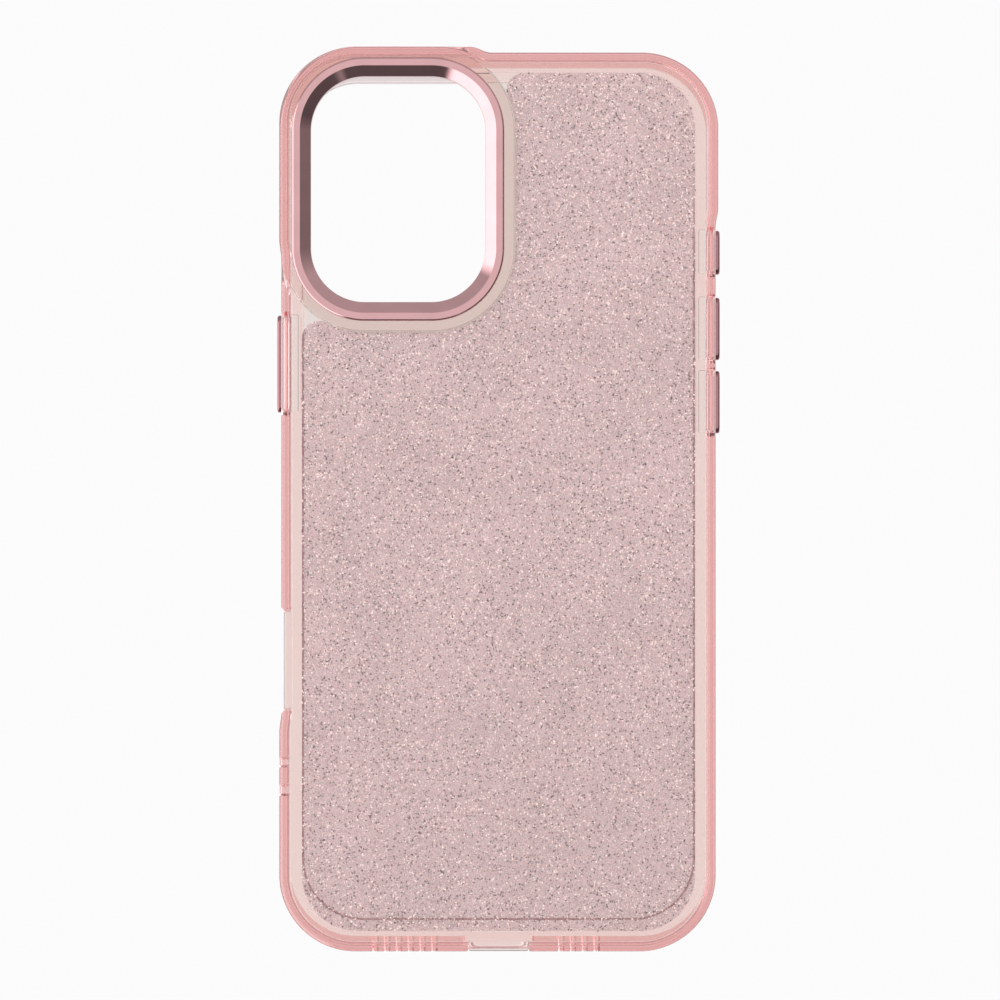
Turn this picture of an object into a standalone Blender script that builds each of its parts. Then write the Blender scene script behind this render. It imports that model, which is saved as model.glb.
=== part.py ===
"""Two-shell phone case: soft tinted bumper, clear back plate over a glitter film, plated camera ring
and four plated push buttons.

The case stands upright in portrait: +Z is its length, +X its width seen from the back, and +Y points
from the back plate to the open screen side. The origin is the centre of the floor the phone lies on.
"""

import math

import bmesh
import bpy
from mathutils import Matrix

MM = 0.001

# The phone the case is moulded round, and the room it gets
PHONE_WIDTH = 71.5 * MM
PHONE_LENGTH = 149.6 * MM
PHONE_DEPTH = 7.95 * MM
PHONE_CORNER_RADIUS = 11.2 * MM
PHONE_CLEARANCE = 0.2 * MM
BUTTON_LEVEL = 3.98 * MM  # height of the side keys and the port above the floor

# Bumper
SIDE_WALL = 1.55 * MM
END_WALL = 2.6 * MM
CORNER_WALL = 1.8 * MM
RIM_WIDTH = 1.65 * MM  # tinted border seen from the back
LEDGE_WIDTH = 1.8 * MM  # floor ledge that carries the back plate's border
LIP_HEIGHT = 1.3 * MM
LIP_OVERHANG = 2.25 * MM
EDGE_RADIUS = 1.0 * MM

# Layers of the back, from the floor outwards
LINER_THICKNESS = 0.45 * MM
FILM_THICKNESS = 0.2 * MM
PLATE_THICKNESS = 1.2 * MM
ISLAND_RISE = 0.8 * MM
PLATE_EDGE_RADIUS = 0.3 * MM
GLUE_GAP = 0.1 * MM
FIT_GAP = 0.1 * MM

# Camera window: the ring's outline, placed from the phone's top left corner
RING_WIDTH = 36.6 * MM
RING_LENGTH = 45.4 * MM
RING_CORNER_RADIUS = 12.6 * MM
RING_SIDE_GAP = 0.15 * MM  # from the phone's left side in to the ring
RING_TOP_OVERHANG = 1.8 * MM  # from the phone's top edge out to the ring
RING_HEIGHT = 1.25 * MM
RING_CROWN = 0.45 * MM  # rounding of the outer shoulder
RING_LAND = 0.9 * MM
RING_CHAMFER_WIDTH = 1.9 * MM
RING_CHAMFER_DROP = 1.1 * MM
RING_SKIRT_WALL = 0.7 * MM
RING_SKIRT_RECESS = 0.35 * MM
TAPE_THICKNESS = 0.15 * MM
TAPE_INSET = 0.3 * MM
TAPE_GAP = 0.05 * MM
ISLAND_MARGIN = 1.75 * MM  # clear border round the ring
ISLAND_RIM_GROWTH = 0.6 * MM
FILM_NOTCH_FILLET = 3.0 * MM

# Swellings of the bumper's outline
CAMERA_SWELL_TOP = 1.0 * MM
CAMERA_SWELL_SIDE = 0.36 * MM
TOP_RIGHT_SWELL = 0.45 * MM
LOWER_LEFT_SWELL = 0.35 * MM
SWELL_BLEND = 3.4 * MM
SWELL_STEPS = 4  # points along a blend, on a straight edge
SWELL_FADE_SHARE = 0.5  # share of the half width over which a side's swelling dies away
SWELL_FADE_POWER = 4
CAMERA_SWELL_LEFT = 5.7 * MM  # the top swelling ends this far inside the ring's right edge
CAMERA_SWELL_RISE = 13.1 * MM  # the side swelling ends this far above the ring's lower edge

# Push buttons: name, side, distance of the centre from the phone's top, length
BUTTONS = (
    ("action_button", 1, 31.6 * MM, 7.6 * MM),
    ("volume_up_button", 1, 44.8 * MM, 10.8 * MM),
    ("volume_down_button", 1, 57.5 * MM, 10.8 * MM),
    ("power_button", -1, 50.9 * MM, 16.8 * MM),
)
CAP_WIDTH = 2.8 * MM
CAP_PROUD = 0.8 * MM
CAP_EDGE_RADIUS = 0.35 * MM
CAP_GAP = 0.2 * MM
WEB_THICKNESS = 0.75 * MM  # bumper wall left round the cap
PAD_THICKNESS = 0.6 * MM
PAD_FLANGE = 0.6 * MM
FLEX_SLOT_WIDTH = 1.0 * MM
FLEX_SLOT_STEP = 0.25 * MM

# Cut-outs, measured from the phone's lower edge or from its middle
CONTROL_FROM_BOTTOM = 47.45 * MM
CONTROL_LENGTH = 17.1 * MM
CONTROL_SCOOP = 0.45 * MM
CONTROL_SCOOP_MARGIN = 0.6 * MM
OPENING_FROM_LIP = 1.4 * MM
LANYARD_SLOTS = ((29.75 * MM, 1.9 * MM), (24.95 * MM, 2.1 * MM))  # from the lower edge, length
LANYARD_SLOT_DEPTH = 2.8 * MM
PORT_WIDTH = 10.5 * MM
PORT_CORNER_RADIUS = 2.5 * MM
PORT_RELIEF_WIDTH = 12.2 * MM
PORT_RELIEF_DEPTH = 0.9 * MM
SOUND_HOLE_RADIUS = 0.6 * MM
SOUND_HOLE_PITCH = 2.04 * MM
SPEAKER_HOLES = (6, -21.3 * MM)  # count, first hole's place across the width
MICROPHONE_HOLES = (4, 10.85 * MM)
TAB_STEP = 0.12 * MM

# How finely the shapes are made
CORNER_SEGMENTS = 10
SLOT_SEGMENTS = 5
HOLE_SEGMENTS = 12
RIM_EDGE_SEGMENTS = 4
CAP_EDGE_SEGMENTS = 3
PLATE_EDGE_SEGMENTS = 2
SLOT_ROUNDING = 0.45  # a slot's corner radius as a share of its width
REACH = 5.0 * MM  # how far a cutter runs past what it cuts
SHORT_REACH = 0.5 * MM  # the same, where another face is near
TAB_OVERLAP = 0.5 * MM  # how far a tab runs into the plate it joins
SIDE_STEP = 0.05 * MM  # keeps a joined block's sides off the sides of its piece
WELD_DISTANCE = 0.001 * MM
STRAIGHT_ANGLE = math.radians(0.05)  # corners flatter than this are dissolved
SHARP_ANGLE = math.radians(35)
BEVEL_ANGLE = math.radians(50)

# Sizes that follow from the ones above
CAVITY_X = PHONE_WIDTH / 2 + PHONE_CLEARANCE
CAVITY_Z = PHONE_LENGTH / 2 + PHONE_CLEARANCE
CAVITY_RADIUS = PHONE_CORNER_RADIUS + PHONE_CLEARANCE
CASE_X = CAVITY_X + SIDE_WALL
CASE_Z = CAVITY_Z + END_WALL
CASE_RADIUS = CAVITY_RADIUS + CORNER_WALL
WINDOW_INSET = RIM_WIDTH + LEDGE_WIDTH  # from the outline to the ledge's inner edge
FILM_INSET = WINDOW_INSET + FIT_GAP
LIP_UNDER = PHONE_DEPTH + GLUE_GAP
FRONT_Y = LIP_UNDER + LIP_HEIGHT
LINER_BACK = -LINER_THICKNESS
FILM_FRONT = LINER_BACK - GLUE_GAP
FILM_BACK = FILM_FRONT - FILM_THICKNESS
PLATE_FRONT = FILM_BACK - GLUE_GAP
PLATE_BACK = PLATE_FRONT - PLATE_THICKNESS
LEDGE_BACK = PLATE_FRONT + GLUE_GAP
ISLAND_BACK = PLATE_BACK - ISLAND_RISE
RING_FOOT = ISLAND_BACK - TAPE_THICKNESS - 2 * TAPE_GAP
RING_BACK = RING_FOOT - RING_HEIGHT
RING_X = -PHONE_WIDTH / 2 + RING_SIDE_GAP + RING_WIDTH / 2
RING_Z = PHONE_LENGTH / 2 + RING_TOP_OVERHANG - RING_LENGTH / 2
RING_BAND = RING_CROWN + RING_LAND + RING_CHAMFER_WIDTH
CAMERA_SWELL_X = RING_X + RING_WIDTH / 2 - CAMERA_SWELL_LEFT
CAMERA_SWELL_Z = RING_Z - RING_LENGTH / 2 + CAMERA_SWELL_RISE
WEB_INNER_X = CASE_X - WEB_THICKNESS
PAD_OUTER_X = WEB_INNER_X - GLUE_GAP
FLEX_SLOT_OUTER_X = CASE_X - RIM_WIDTH - FLEX_SLOT_STEP
OPENING_FRONT = LIP_UNDER - OPENING_FROM_LIP
CONTROL_Z = -PHONE_LENGTH / 2 + CONTROL_FROM_BOTTOM


def material(name, colour, roughness, metallic=0.0, transmission=0.0):
    """A plain finish: colour, roughness, metal or plastic, and how much light it lets through."""
    made = bpy.data.materials.new(name)
    made.use_nodes = True
    shader = made.node_tree.nodes["Principled BSDF"]
    shader.inputs["Base Color"].default_value = (*colour, 1.0)
    shader.inputs["Roughness"].default_value = roughness
    shader.inputs["Metallic"].default_value = metallic
    shader.inputs["Transmission Weight"].default_value = transmission
    made.diffuse_color = (*colour, 1.0)
    return made


def arc(centre_x, centre_z, radius, start, end, segments=CORNER_SEGMENTS):
    """Points on an arc between two angles in degrees, both ends included."""
    angles = [math.radians(start + (end - start) * i / segments) for i in range(segments + 1)]
    return [(centre_x + radius * math.cos(a), centre_z + radius * math.sin(a)) for a in angles]


def rounded_rectangle(half_x, half_z, radius, centre=(0.0, 0.0), segments=CORNER_SEGMENTS):
    """The outline of a rectangle with round corners, anticlockwise from its lower right corner."""
    points = []
    for sign_x, sign_z, start in ((1, -1, -90), (1, 1, 0), (-1, 1, 90), (-1, -1, 180)):
        corner_x = centre[0] + sign_x * (half_x - radius)
        corner_z = centre[1] + sign_z * (half_z - radius)
        points += arc(corner_x, corner_z, radius, start, start + 90, segments)
    return points


def ramp(value, start, end):
    """0 before start, 1 after end, and a smooth step between them."""
    t = min(max((value - start) / (end - start), 0.0), 1.0)
    return t * t * (3 - 2 * t)


def top_right_swell_z():
    """Where the swelling of the top right corner ends, just above the highest button."""
    _, _, from_top, length = BUTTONS[0]
    return PHONE_LENGTH / 2 - from_top + length / 2 + 2 * CAP_GAP


def lower_left_swell_z():
    """Where the swelling of the lower left corner begins, above the lanyard slots."""
    from_bottom, length = LANYARD_SLOTS[0]
    return -PHONE_LENGTH / 2 + from_bottom + length + SWELL_BLEND


def swollen(x, z):
    """A point of the plain outline, moved out where the bumper is thicker round its corners."""
    right_z = top_right_swell_z()
    low_z = lower_left_swell_z()
    if z > 0:
        z_shift = CAMERA_SWELL_TOP * ramp(x, CAMERA_SWELL_X + SWELL_BLEND, CAMERA_SWELL_X)
    else:
        z_shift = 0.0
    if x < 0:
        x_shift = -CAMERA_SWELL_SIDE * ramp(z, CAMERA_SWELL_Z - SWELL_BLEND, CAMERA_SWELL_Z)
        x_shift -= LOWER_LEFT_SWELL * ramp(z, low_z + SWELL_BLEND, low_z)
    else:
        x_shift = TOP_RIGHT_SWELL * ramp(z, right_z, right_z + SWELL_BLEND)
    side_share = min(abs(x) / (SWELL_FADE_SHARE * CASE_X), 1.0) ** SWELL_FADE_POWER
    return x + x_shift * side_share, z + z_shift


def case_outline(inset):
    """The case's outline seen from the back, moved in by inset, with its swellings."""
    corners = rounded_rectangle(CASE_X - inset, CASE_Z - inset, CASE_RADIUS - inset)
    edges = (corners, corners[1:] + corners[:1])
    points = []
    for start, end in zip(*edges):
        points.append(start)
        length = math.dist(start, end)
        if length < CASE_RADIUS:
            continue
        steps = round(length / SWELL_BLEND * SWELL_STEPS)
        for i in range(1, steps):
            share = i / steps
            x = start[0] + (end[0] - start[0]) * share
            z = start[1] + (end[1] - start[1]) * share
            if swollen(x, z) != (x, z) and in_blend(x, z):
                points.append((x, z))
    return [swollen(x, z) for x, z in points]


def in_blend(x, z):
    """Whether a point lies on a stretch where a swelling fades out."""
    margin = SWELL_BLEND / SWELL_STEPS
    if z > CAVITY_Z:
        return -margin < x - CAMERA_SWELL_X < SWELL_BLEND + margin
    left = (CAMERA_SWELL_Z - SWELL_BLEND, lower_left_swell_z())
    starts = left if x < 0 else (top_right_swell_z(),)
    return any(start - margin < z < start + SWELL_BLEND + margin for start in starts)


def ring_outline(inset, segments=CORNER_SEGMENTS):
    """The camera ring's outline, moved in by inset."""
    half_x, half_z = RING_WIDTH / 2 - inset, RING_LENGTH / 2 - inset
    return rounded_rectangle(half_x, half_z, RING_CORNER_RADIUS - inset, (RING_X, RING_Z), segments)


def island_outline(growth=0.0):
    """The outline of the raised island that carries the camera ring."""
    return ring_outline(-ISLAND_MARGIN - growth)


def film_outline(inset):
    """The glitter film's outline: a rounded rectangle less the camera island, its two tips rounded."""
    half_x, half_z = CASE_X - inset, CASE_Z - inset
    corner = CASE_RADIUS - inset
    notch = RING_CORNER_RADIUS + ISLAND_MARGIN + FIT_GAP
    right_x = RING_X + RING_WIDTH / 2 - RING_CORNER_RADIUS
    left_x = RING_X - RING_WIDTH / 2 + RING_CORNER_RADIUS
    high_z = RING_Z + RING_LENGTH / 2 - RING_CORNER_RADIUS
    low_z = RING_Z - RING_LENGTH / 2 + RING_CORNER_RADIUS
    fillet = FILM_NOTCH_FILLET
    span = notch + fillet
    top_tip_x = right_x + math.sqrt(span**2 - (half_z - fillet - high_z) ** 2)
    top_turn = math.degrees(math.atan2(half_z - fillet - high_z, top_tip_x - right_x))
    side_tip_z = low_z - math.sqrt(span**2 - (-half_x + fillet - left_x) ** 2)
    side_turn = math.degrees(math.atan2(side_tip_z - low_z, -half_x + fillet - left_x))
    points = arc(half_x - corner, corner - half_z, corner, -90, 0)
    points += arc(half_x - corner, half_z - corner, corner, 0, 90)
    points += arc(top_tip_x, half_z - fillet, fillet, 90, 180 + top_turn, SLOT_SEGMENTS)
    points += arc(right_x, high_z, notch, top_turn, 0)[1:]
    points += arc(right_x, low_z, notch, 0, -90)
    points += arc(left_x, low_z, notch, -90, side_turn)[:-1]
    points += arc(fillet - half_x, side_tip_z, fillet, 180 + side_turn, 180, SLOT_SEGMENTS)
    points += arc(corner - half_x, corner - half_z, corner, 180, 270)
    return points


TURNS = {  # outline axes and extrusion axis, as a turn of the flat outline
    "X": Matrix(((0, 0, 1), (1, 0, 0), (0, 1, 0))).to_4x4(),  # outline (y, z)
    "Y": Matrix(((1, 0, 0), (0, 0, -1), (0, 1, 0))).to_4x4(),  # outline (x, z)
    "Z": Matrix.Identity(4),  # outline (x, y)
}


def extruded(name, outline, start, end, group, finish=None, axis="Y", origin=(0.0, 0.0, 0.0)):
    """A closed prism: the flat outline run along an axis from start to end, placed at origin."""
    curve = bpy.data.curves.new(name, "CURVE")
    curve.dimensions = "2D"
    curve.fill_mode = "BOTH"
    curve.extrude = abs(end - start) / 2
    spline = curve.splines.new("POLY")
    spline.points.add(len(outline) - 1)
    for point, (u, v) in zip(spline.points, outline):
        point.co = (u, v, 0.0, 1.0)
    spline.use_cyclic_u = True
    turn = TURNS[axis]
    middle = turn.to_3x3().col[2].copy()
    middle *= (start + end) / 2 * (-1 if axis == "Y" else 1)
    return meshed(name, curve, Matrix.Translation(middle) @ turn, group, finish, origin)


def meshed(name, curve, place, group, finish, origin):
    """The curve's solid as a mesh object with welded caps, its faces pointing out."""
    guide = bpy.data.objects.new(f"{name}_guide", curve)
    bpy.context.scene.collection.objects.link(guide)
    graph = bpy.context.evaluated_depsgraph_get()
    mesh = bpy.data.meshes.new_from_object(guide.evaluated_get(graph), depsgraph=graph)
    bpy.data.objects.remove(guide)
    bpy.data.curves.remove(curve)
    work = bmesh.new()
    work.from_mesh(mesh)
    bmesh.ops.remove_doubles(work, verts=work.verts, dist=WELD_DISTANCE)
    bmesh.ops.dissolve_limit(work, angle_limit=STRAIGHT_ANGLE, verts=work.verts, edges=work.edges)
    bmesh.ops.transform(work, matrix=place, verts=work.verts)
    bmesh.ops.recalc_face_normals(work, faces=work.faces)
    work.to_mesh(mesh)
    work.free()
    mesh.name = name
    mesh.materials.clear()
    if finish:
        mesh.materials.append(finish)
    made = bpy.data.objects.new(name, mesh)
    made.location = origin
    group.objects.link(made)
    return made


def box_outline(low_u, high_u, low_v, high_v):
    """A plain rectangle between two corners."""
    return [(low_u, low_v), (high_u, low_v), (high_u, high_v), (low_u, high_v)]


def bevel(target, width, segments):
    """Round the target's sharp edges."""
    made = target.modifiers.new("rounding", "BEVEL")
    made.width = width
    made.segments = segments
    made.limit_method = "ANGLE"
    made.angle_limit = BEVEL_ANGLE
    return made


def combine(target, operand, operation="DIFFERENCE"):
    """Cut, join or intersect the target with another solid, which stays as a hidden guide."""
    made = target.modifiers.new(operand.name, "BOOLEAN")
    made.operation = operation
    made.object = operand
    operand.hide_render = True
    operand.display_type = "WIRE"
    return made


def shade(target):
    """Smooth shading with crisp edges."""
    target.data.shade_smooth()
    target.data.set_sharp_from_angle(angle=SHARP_ANGLE)


def island_block(name, inset, growth, front, group):
    """The part of the raised island that lies inside the case's outline at inset."""
    block = extruded(name, case_outline(inset + SIDE_STEP), ISLAND_BACK, front, group)
    limit = extruded(f"{name}_limit", island_outline(growth), ISLAND_BACK - REACH, FRONT_Y, group)
    return block, limit


def button_centre(button):
    """The middle of a button on the case's side wall."""
    _, side, from_top, _ = button
    return side * CASE_X, BUTTON_LEVEL, PHONE_LENGTH / 2 - from_top


def slot_outline(width, length):
    """A slot with nearly round ends, across the thickness and along the length of the case."""
    radius = SLOT_ROUNDING * width
    return rounded_rectangle(width / 2, length / 2, radius, segments=SLOT_SEGMENTS)


def side_cut(name, outline, side, inner_x, outer_x, origin, cutters):
    """A cutter that runs across one side wall, between two distances from the case's middle."""
    ends = sorted((side * inner_x, side * outer_x))
    return extruded(name, outline, *ends, cutters, axis="X", origin=(0.0, *origin[1:]))


def button_cuts(button, cutters):
    """The cap's slot, the pad's recess and the flex slot in the ledge, for one button."""
    name, side, _, length = button
    centre = button_centre(button)
    cap = slot_outline(CAP_WIDTH + 2 * CAP_GAP, length + 2 * CAP_GAP)
    flange = PAD_FLANGE + 2 * CAP_GAP
    pad = slot_outline(CAP_WIDTH + 2 * flange, length + 2 * flange)
    yield side_cut(f"{name}_slot", cap, side, CAVITY_X - REACH, CASE_X + REACH, centre, cutters)
    yield side_cut(f"{name}_recess", pad, side, CAVITY_X - REACH, WEB_INNER_X, centre, cutters)
    flex = box_outline(LEDGE_BACK - SHORT_REACH, SHORT_REACH, -length / 2, length / 2)
    place = (0.0, 0.0, centre[2])
    inner_x = FLEX_SLOT_OUTER_X - FLEX_SLOT_WIDTH
    yield side_cut(f"{name}_flex_slot", flex, side, inner_x, FLEX_SLOT_OUTER_X, place, cutters)


def side_opening_cuts(cutters):
    """The camera-control cut-out with its finger scoop, and the two lanyard slots, on the left."""
    half = CONTROL_LENGTH / 2
    place = (0.0, 0.0, CONTROL_Z)
    rim_x = CASE_X - RIM_WIDTH
    window = box_outline(PLATE_BACK - REACH, OPENING_FRONT, -half, half)
    yield side_cut("camera_control_cut", window, -1, rim_x, CASE_X + REACH, place, cutters)
    scoop_half = half + CONTROL_SCOOP_MARGIN
    scoop = box_outline(PLATE_BACK - REACH, FRONT_Y + REACH, -scoop_half, scoop_half)
    scoop_x = CASE_X - CONTROL_SCOOP
    yield side_cut("camera_control_scoop", scoop, -1, scoop_x, CASE_X + REACH, place, cutters)
    for number, (from_bottom, length) in enumerate(LANYARD_SLOTS, 1):
        reach = LANYARD_SLOT_DEPTH / 2
        slot = box_outline(-reach, reach, -length / 2, length / 2)
        spot = (0.0, BUTTON_LEVEL, -PHONE_LENGTH / 2 + from_bottom)
        name = f"lanyard_slot_{number}"
        yield side_cut(name, slot, -1, CAVITY_X - REACH, CASE_X + REACH, spot, cutters)


def bottom_opening_cuts(cutters):
    """The port cut-out, the relief inside it and the two rows of sound holes."""
    half = PORT_WIDTH / 2
    ends = (-CASE_Z - REACH, -CAVITY_Z + SHORT_REACH)
    low_y = -OPENING_FRONT
    centre = (0.0, (low_y + OPENING_FRONT) / 2)
    port = rounded_rectangle(half, (OPENING_FRONT - low_y) / 2, PORT_CORNER_RADIUS, centre)
    ledge_keep = -CASE_Z + RIM_WIDTH
    yield extruded("port_cut", port, ends[0], ledge_keep, cutters, axis="Z")
    inner = box_outline(-half, half, 0.0, OPENING_FRONT - PORT_CORNER_RADIUS)
    yield extruded("port_throat_cut", inner, ends[0], ends[1], cutters, axis="Z")
    relief = box_outline(-PORT_RELIEF_WIDTH / 2, PORT_RELIEF_WIDTH / 2, 0.0, OPENING_FRONT)
    relief_end = -CAVITY_Z - PORT_RELIEF_DEPTH
    yield extruded("port_relief_cut", relief, relief_end, ends[1], cutters, axis="Z")
    for row, (count, first) in (("speaker", SPEAKER_HOLES), ("microphone", MICROPHONE_HOLES)):
        for i in range(count):
            x = first + i * SOUND_HOLE_PITCH
            hole = arc(0.0, 0.0, SOUND_HOLE_RADIUS, 0, 360, HOLE_SEGMENTS)[:-1]
            place = (x, BUTTON_LEVEL, 0.0)
            yield extruded(f"{row}_hole_{i + 1}", hole, *ends, cutters, axis="Z", origin=place)


def make_bumper(parts, cutters, finish):
    """The soft frame: side walls, front lip, floor ledge and every opening through them."""
    frame = extruded("bumper_frame", case_outline(0.0), PLATE_BACK, FRONT_Y, parts, finish)
    bevel(frame, EDGE_RADIUS, RIM_EDGE_SEGMENTS)
    rim, limit = island_block("island_rim", 0.0, ISLAND_RIM_GROWTH, LEDGE_BACK, cutters)
    bevel(rim, EDGE_RADIUS, RIM_EDGE_SEGMENTS)
    combine(rim, limit, "INTERSECT")
    combine(frame, rim, "UNION")
    cavity = rounded_rectangle(CAVITY_X, CAVITY_Z, CAVITY_RADIUS)
    combine(frame, extruded("cavity", cavity, 0.0, LIP_UNDER, cutters))
    mouth = rounded_rectangle(*(size - LIP_OVERHANG for size in (CAVITY_X, CAVITY_Z, CAVITY_RADIUS)))
    combine(frame, extruded("screen_mouth", mouth, LIP_UNDER - SHORT_REACH, FRONT_Y + REACH, cutters))
    pocket = case_outline(RIM_WIDTH)
    combine(frame, extruded("plate_pocket", pocket, ISLAND_BACK - REACH, LEDGE_BACK, cutters))
    window = rounded_rectangle(*(size - WINDOW_INSET for size in (CASE_X, CASE_Z, CASE_RADIUS)))
    window_ends = (LEDGE_BACK - SHORT_REACH, SHORT_REACH)
    combine(frame, extruded("film_window", window, *window_ends, cutters))
    for button in BUTTONS:
        for cutter in button_cuts(button, cutters):
            combine(frame, cutter)
    for cutter in (*side_opening_cuts(cutters), *bottom_opening_cuts(cutters)):
        combine(frame, cutter)
    shade(frame)
    return frame


def make_plate(parts, cutters, finish):
    """The clear back plate: border, two tabs in the bumper's notches, and the camera island."""
    border = RIM_WIDTH + FIT_GAP
    plate = extruded("back_plate", case_outline(border), PLATE_BACK, PLATE_FRONT, parts, finish)
    bevel(plate, PLATE_EDGE_RADIUS, PLATE_EDGE_SEGMENTS)
    tab_root = border + TAB_OVERLAP
    tab_ends = (PLATE_BACK + TAB_STEP, PLATE_FRONT - TAB_STEP / 2)
    half = PORT_WIDTH / 2 - FIT_GAP
    port = box_outline(-half, half, -CASE_Z + TAB_STEP, -CASE_Z + tab_root)
    combine(plate, extruded("port_tab", port, *tab_ends, cutters), "UNION")
    half = CONTROL_LENGTH / 2 - FIT_GAP
    outer_x = -CASE_X + CONTROL_SCOOP
    control = box_outline(outer_x, -CASE_X + tab_root, CONTROL_Z - half, CONTROL_Z + half)
    combine(plate, extruded("camera_control_tab", control, *tab_ends, cutters), "UNION")
    plate_middle = (PLATE_BACK + PLATE_FRONT) / 2
    island, limit = island_block("camera_island", border, 0.0, plate_middle, cutters)
    combine(island, limit, "INTERSECT")
    bevel(island, PLATE_EDGE_RADIUS, PLATE_EDGE_SEGMENTS)
    combine(plate, island, "UNION")
    boss_outline = rounded_rectangle(*(size - FILM_INSET for size in (CASE_X, CASE_Z, CASE_RADIUS)))
    boss = extruded("camera_boss", boss_outline, plate_middle, 0.0, cutters)
    combine(boss, limit, "INTERSECT")
    combine(plate, boss, "UNION")
    hole = ring_outline(RING_BAND - RING_SKIRT_WALL - FIT_GAP)
    combine(plate, extruded("camera_hole", hole, ISLAND_BACK - REACH, REACH, cutters))
    shade(plate)
    return plate


def make_ring(parts, finish):
    """The plated ring: a flange with a polished inner chamfer, and a skirt that lines the hole."""
    shoulder = RING_CROWN * (1 - math.sqrt(0.5))  # halfway round the rounding
    profile = (
        (0.0, RING_FOOT),
        (0.0, RING_BACK + RING_CROWN),
        (shoulder, RING_BACK + shoulder),
        (RING_CROWN, RING_BACK),
        (RING_CROWN + RING_LAND, RING_BACK),
        (RING_BAND, RING_BACK + RING_CHAMFER_DROP),
        (RING_BAND, -RING_SKIRT_RECESS),
        (RING_BAND - RING_SKIRT_WALL, -RING_SKIRT_RECESS),
        (RING_BAND - RING_SKIRT_WALL, RING_FOOT),
    )
    work = bmesh.new()
    loops = []
    for inset, y in profile:
        loops.append([work.verts.new((x, y, z)) for x, z in ring_outline(inset, 2 * CORNER_SEGMENTS)])
    for loop, following in zip(loops, loops[1:] + loops[:1]):
        for i, vert in enumerate(loop):
            after = (i + 1) % len(loop)
            work.faces.new((vert, loop[after], following[after], following[i]))
    bmesh.ops.recalc_face_normals(work, faces=work.faces)
    mesh = bpy.data.meshes.new("camera_ring")
    work.to_mesh(mesh)
    work.free()
    mesh.materials.append(finish)
    ring = bpy.data.objects.new("camera_ring", mesh)
    parts.objects.link(ring)
    shade(ring)
    return ring


def make_tape(parts, cutters, finish):
    """The adhesive loop that holds the ring on its island."""
    ends = (ISLAND_BACK - TAPE_GAP - TAPE_THICKNESS, ISLAND_BACK - TAPE_GAP)
    tape = extruded("ring_adhesive", ring_outline(TAPE_INSET), *ends, parts, finish)
    hole = ring_outline(RING_BAND - RING_SKIRT_WALL - TAPE_INSET)
    hole_ends = (ends[0] - SHORT_REACH, ends[1] + SHORT_REACH)
    combine(tape, extruded("adhesive_hole", hole, *hole_ends, cutters))
    return tape


def make_button(button, parts, cap_finish, pad_finish):
    """One plated cap and the soft pad behind it, hung from an empty at the button's middle."""
    name, side, _, length = button
    centre = button_centre(button)
    slide = bpy.data.objects.new(f"{name}_slide", None)
    slide.location = centre
    parts.objects.link(slide)
    cap_ends = sorted((side * (WEB_INNER_X - CASE_X), side * CAP_PROUD))
    cap = extruded(
        f"{name}_cap", slot_outline(CAP_WIDTH, length), *cap_ends, parts, cap_finish, axis="X"
    )
    bevel(cap, CAP_EDGE_RADIUS, CAP_EDGE_SEGMENTS)
    pad_outer = PAD_OUTER_X - CASE_X
    pad_ends = sorted((side * (pad_outer - PAD_THICKNESS), side * pad_outer))
    outline = slot_outline(CAP_WIDTH + 2 * PAD_FLANGE, length + 2 * PAD_FLANGE)
    pad = extruded(f"{name}_pad", outline, *pad_ends, parts, pad_finish, axis="X")
    for piece in (cap, pad):
        piece.parent = slide
        shade(piece)


def main():
    """Build the case."""
    for old in list(bpy.data.objects):
        bpy.data.objects.remove(old)
    parts = bpy.data.collections.new("phone_case")
    cutters = bpy.data.collections.new("cutters")
    for group in (parts, cutters):
        bpy.context.scene.collection.children.link(group)
    tinted = material("tinted_soft_plastic", (0.80, 0.36, 0.35), 0.2, transmission=0.7)
    clear = material("clear_hard_plastic", (0.80, 0.68, 0.65), 0.1, transmission=0.9)
    glitter = material("glitter_film", (0.64, 0.48, 0.48), 0.4, metallic=0.3)
    plated = material("rose_plating", (0.47, 0.28, 0.30), 0.12, metallic=1.0)
    dark = material("dark_adhesive", (0.06, 0.02, 0.03), 0.6)
    make_bumper(parts, cutters, tinted)
    make_plate(parts, cutters, clear)
    extruded("glitter_film", film_outline(FILM_INSET), FILM_BACK, FILM_FRONT, parts, glitter)
    extruded("inner_liner", film_outline(FILM_INSET), LINER_BACK, 0.0, parts, clear)
    make_ring(parts, plated)
    make_tape(parts, cutters, dark)
    for button in BUTTONS:
        make_button(button, parts, plated, tinted)


if __name__ == "__main__":
    main()
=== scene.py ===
"""Looks of a two-shell phone case: tinted bumper, clear back over a glitter film, plated ring and buttons.

The case stands in portrait. +Z is its length, +X its width seen from the back, and +Y points from the back
plate to the open screen side. Sizes are in metres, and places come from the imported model's own boxes.
"""

import logging
import math
from collections.abc import Iterable, Sequence
from dataclasses import dataclass, replace
from enum import Enum

import bmesh
import bpy
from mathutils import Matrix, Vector
from mathutils.geometry import tessellate_polygon


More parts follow.
